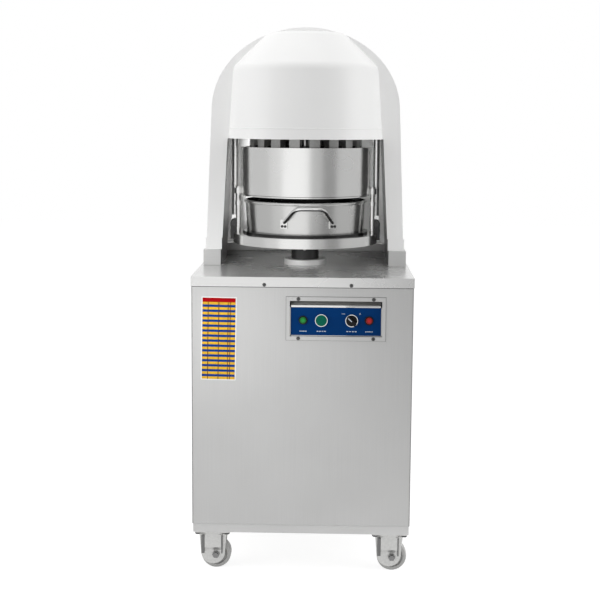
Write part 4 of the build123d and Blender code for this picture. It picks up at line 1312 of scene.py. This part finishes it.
@dataclass(frozen=True)
class Card:
    """Upright bent card, seen only in polished steel.

    Its start and end are angles about the upright axis, from the front towards the right.
    """

    name: str
    start: float
    end: float
    level: float
    reach: float = 1.5
    low: float = 0.01
    high: float = 2.2
    step: float = radians(4)

    def build(self) -> None:
        """Add the card with an even glow."""
        mesh = bmesh.new()
        turn = Matrix.Rotation(self.start, 3, "Z")
        ends = [mesh.verts.new(turn @ Vector((0, -self.reach, z))) for z in (self.low, self.high)]
        edge = mesh.edges.new(ends)
        angle = self.end - self.start
        bmesh.ops.spin(
            mesh, geom=[*ends, edge], cent=(0, 0, 0), axis=(0, 0, 1), angle=angle,
            steps=max(1, round(angle / self.step)),
        )
        graph = MaterialGraph(self.name)
        graph.feed(graph.shader, {
            "Base Color": BLACK,
            "Specular IOR Level": 0.0,
            "Emission Color": WHITE,
            "Emission Strength": self.level,
        })
        sheet = object_of(mesh, self.name, graph.material)
        sheet.visible_camera = False
        sheet.visible_diffuse = False
        sheet.visible_shadow = False


@dataclass
class Studio:
    """White studio: even surround, floor, soft lamps, and grey cards for the polished steel."""

    surround_strength: float = 0.46
    floor_half: float = 9.0
    floor_lit: Colour = (0.8, 0.8, 0.8)
    floor_roughness: float = 0.9
    floor_dim: float = 0.5
    floor_glow: float = 0.82
    lamps: tuple[Lamp, ...] = (
        Lamp("left_lamp", (-2.5, -0.9, 1.5), (1.6, 2.2), 34.0),
        Lamp("right_lamp", (2.5, -0.6, 1.4), (1.4, 2.0), 31.0),
        Lamp("top_lamp", (-0.2, -0.3, 3.2), (1.8, 1.4), 21.0),
        Lamp("front_lamp", (-0.5, -0.85, 0.8), (0.35, 0.35), 0.34, (-0.18, -0.27, 0.6), radians(44)),
        Lamp("alcove_lamp", (-0.02, 0.19, 0.93), (0.28, 0.24), 0.36, (-0.04, 0.3, 0.945), radians(130)),
    )
    cards: tuple[Card, ...] = (
        Card("left_card", radians(-130), radians(-62), 0.6),
        Card("left_front_card", radians(-62), radians(-38), 0.74),
        Card("right_front_card", radians(8), radians(30), 0.52),
        Card("dark_card", radians(30), radians(54), 0.3),
        Card("right_card", radians(54), radians(118), 0.56),
    )

    def build(self) -> None:
        """Build the whole studio."""
        self.build_surround()
        self.build_floor()
        for thing in (*self.lamps, *self.cards):
            thing.build()

    def build_surround(self) -> None:
        """Light the scene evenly from all round, seen as white."""
        world = bpy.data.worlds.new("surround")
        bpy.context.scene.world = world
        world.use_nodes = True
        graph = NodeGraph(world.node_tree)
        lit = graph.tree.nodes["Background"]
        graph.feed(lit, {"Color": WHITE, "Strength": self.surround_strength})
        seen = graph.add("ShaderNodeBackground", {"Color": WHITE, "Strength": 1.0})
        self.show_apart(graph, "World Output", lit, seen)

    def build_floor(self) -> None:
        """Add the pale floor, which keeps the shadow and is seen near white."""
        mesh = bmesh.new()
        bmesh.ops.create_grid(mesh, x_segments=1, y_segments=1, size=self.floor_half)
        graph = MaterialGraph("studio_floor")
        lit = {"Base Color": (*self.floor_lit, 1.0), "Roughness": self.floor_roughness}
        graph.feed(graph.shader, lit)
        dimmed = (*scaled(self.floor_lit, self.floor_dim), 1.0)
        dim = graph.add("ShaderNodeBsdfDiffuse", {"Color": dimmed})
        glow = graph.add("ShaderNodeEmission", {"Strength": self.floor_glow})
        seen = graph.add("ShaderNodeAddShader", {0: dim.outputs[0], 1: glow.outputs[0]})
        self.show_apart(graph, "Material Output", graph.shader, seen)
        floor = object_of(mesh, "studio_floor", graph.material)

    def show_apart(self, graph: NodeGraph, output: str, lit: Node, seen: Node) -> None:
        """Let one shader light the scene and another one be seen.

        Args:
            graph: Graph of both shaders.
            output: Name of its output node.
            lit: Shader that lights the scene.
            seen: Shader that camera, glossy and transmission rays meet.
        """
        shaders = {1: lit.outputs[0], 2: seen.outputs[0]}
        mix = graph.add("ShaderNodeMixShader", {"Fac": graph.seen_rays(), **shaders})
        graph.feed(graph.tree.nodes[output], {"Surface": mix.outputs[0]})


@dataclass
class PhotoCamera:
    """Camera at the photograph's viewpoint."""

    eye: Point = (0.0582, -2.8106, 1.080)
    yaw: float = radians(-1.449)
    pitch: float = radians(6.706)
    roll: float = radians(0.4)
    focal_pixels: float = 1100.0
    image_pixels: float = 600.0
    sensor_width: float = 36.0
    shift_up: float = -0.078

    def build(self) -> None:
        """Add the camera and make it the scene's own."""
        data = bpy.data.cameras.new("photo_camera")
        data.sensor_width = self.sensor_width
        data.lens = self.focal_pixels / self.image_pixels * self.sensor_width
        data.shift_y = self.shift_up
        camera = bpy.data.objects.new("photo_camera", data)
        bpy.context.scene.collection.objects.link(camera)
        camera.location = self.eye
        look = Euler((pi / 2 - self.pitch, 0.0, -self.yaw)).to_quaternion()
        camera.rotation_euler = (look @ Quaternion((0, 0, 1), self.roll)).to_euler()
        bpy.context.scene.camera = camera


def lens_of(node: str, name: str, base: Colour) -> LampLens:
    """Finish of a pilot lamp's lens, centred on its node."""
    return LampLens(name, base, LENS_ROUGHNESS, tuple(middle_of(node)))


def sub_assemblies() -> list[SubAssembly]:
    """Give every node its finish, and some nodes a radius for their edges.

    Returns:
        Every sub-assembly, in the order of building.
    """
    cabinet = Cabinet(
        finishes={
            "base_frame": FRAME_PAINT,
            "floor_plate": INNER_SHEET,
            "front_panel": FRONT_SHEET,
            "rear_panel": FRONT_SHEET,
            "side_panels": SIDE_SHEET,
            "top_plate": TOP_SHEET,
            "rear_plinth": PLINTH_SHEET,
            "panel_screws": SCREW_STEEL,
            "cable_gland": BLACK_MOULDING,
        },
        edge_radii={
            "base_frame": 0.0025,
            "top_plate": 0.002,
            "rear_plinth": 0.0018,
            "front_panel": 0.0006,
        },
    )
    controls = Controls(
        finishes={
            "control_bezel": FRONT_SHEET,
            "control_box": INNER_SHEET,
            "control_panel": BLUE_FACE,
            "lamp_bezels": BLACK_MOULDING,
            "run_lamp_lens": lens_of("run_lamp_lens", "run_lens", (0.004, 0.2, 0.025)),
            "stop_lamp_lens": lens_of("stop_lamp_lens", "stop_lens", (0.38, 0.003, 0.003)),
            "button_bezels": BRIGHT_STEEL,
            "start_button": GREEN_CAP,
            "selector_knob": BLACK_MOULDING,
        },
        edge_radii={
            "control_bezel": 0.0006,
            "selector_knob": 0.0008,
            "button_bezels": 0.0006,
            "lamp_bezels": 0.0006,
        },
    )
    covers = Covers(
        finishes={
            "cover_base": COVER_SHELL,
            "back_cover": COVER_SHELL,
            "hood_skirt": COVER_SHELL,
            "hood_arch": COVER_SHELL,
            "hood_visor": WHITE_SHELL,
        },
    )
    press_frame = PressFrame(
        finishes={
            "left_column": COLUMN_PAINT,
            "right_column": COLUMN_PAINT,
            "pedestal": PEDESTAL_STEEL,
            "platform": PLATFORM_STEEL,
            "tie_rods": ROD_STEEL,
            "rod_pins": DARK_STEEL_AND_SHADE,
            "guide_posts": ROD_STEEL,
            "crosshead": TOOL_STEEL,
            "press_cylinder": TOOL_STEEL,
        },
        edge_radii={"left_column": 0.0012, "right_column": 0.0012},
    )
    press_head = PressHead(
        finishes={
            "press_ram": BRIGHT_STEEL,
            "knife_carrier": TOOL_STEEL,
            "knife_rods": BRIGHT_STEEL,
            "knife_set": KNIFE_STEEL,
            "plunger_carrier": TOOL_STEEL,
            "plungers": PLUNGER_ALLOY,
            "press_ring": RING_STEEL,
        },
    )
    pan_set = PanSet(
        # The dark rivets are painted shade.
        finishes={"pan": PAN_STEEL, "pan_handle": HANDLE_STEEL, "pan_rivets": DARK_STEEL_AND_SHADE},
    )
    power_pack = PowerPack(
        finishes={
            "oil_tank": TANK_PAINT,
            "motor": CAST_HOUSING,
            "pump": CAST_HOUSING,
            "pressure_pipe": BRIGHT_STEEL,
        },
    )
    casters = Casters(
        finishes={"caster_plates": ZINC_PLATE, "caster_bolts": DARK_STEEL_AND_SHADE},
        edge_radii={f"fork_{place}": 0.001 for place in CASTER_PLACES},
    )
    for place in CASTER_PLACES:
        casters.finishes[f"fork_{place}"] = ZINC_PLATE
        casters.finishes[f"axle_{place}"] = AXLE_STEEL
        casters.finishes[f"wheel_{place}"] = WHEEL_TREAD
    return [cabinet, controls, covers, press_frame, press_head, pan_set, power_pack, casters]


def main() -> None:
    """Build the dressed machine, the studio and the camera."""
    logging.basicConfig(level=logging.INFO, format="%(message)s")
    for assembly in sub_assemblies():
        assembly.dress()
        assembly.build()
    Studio().build()
    PhotoCamera().build()
    bpy.context.scene.view_settings.view_transform = "Standard"


if __name__ == "__main__":
    main()
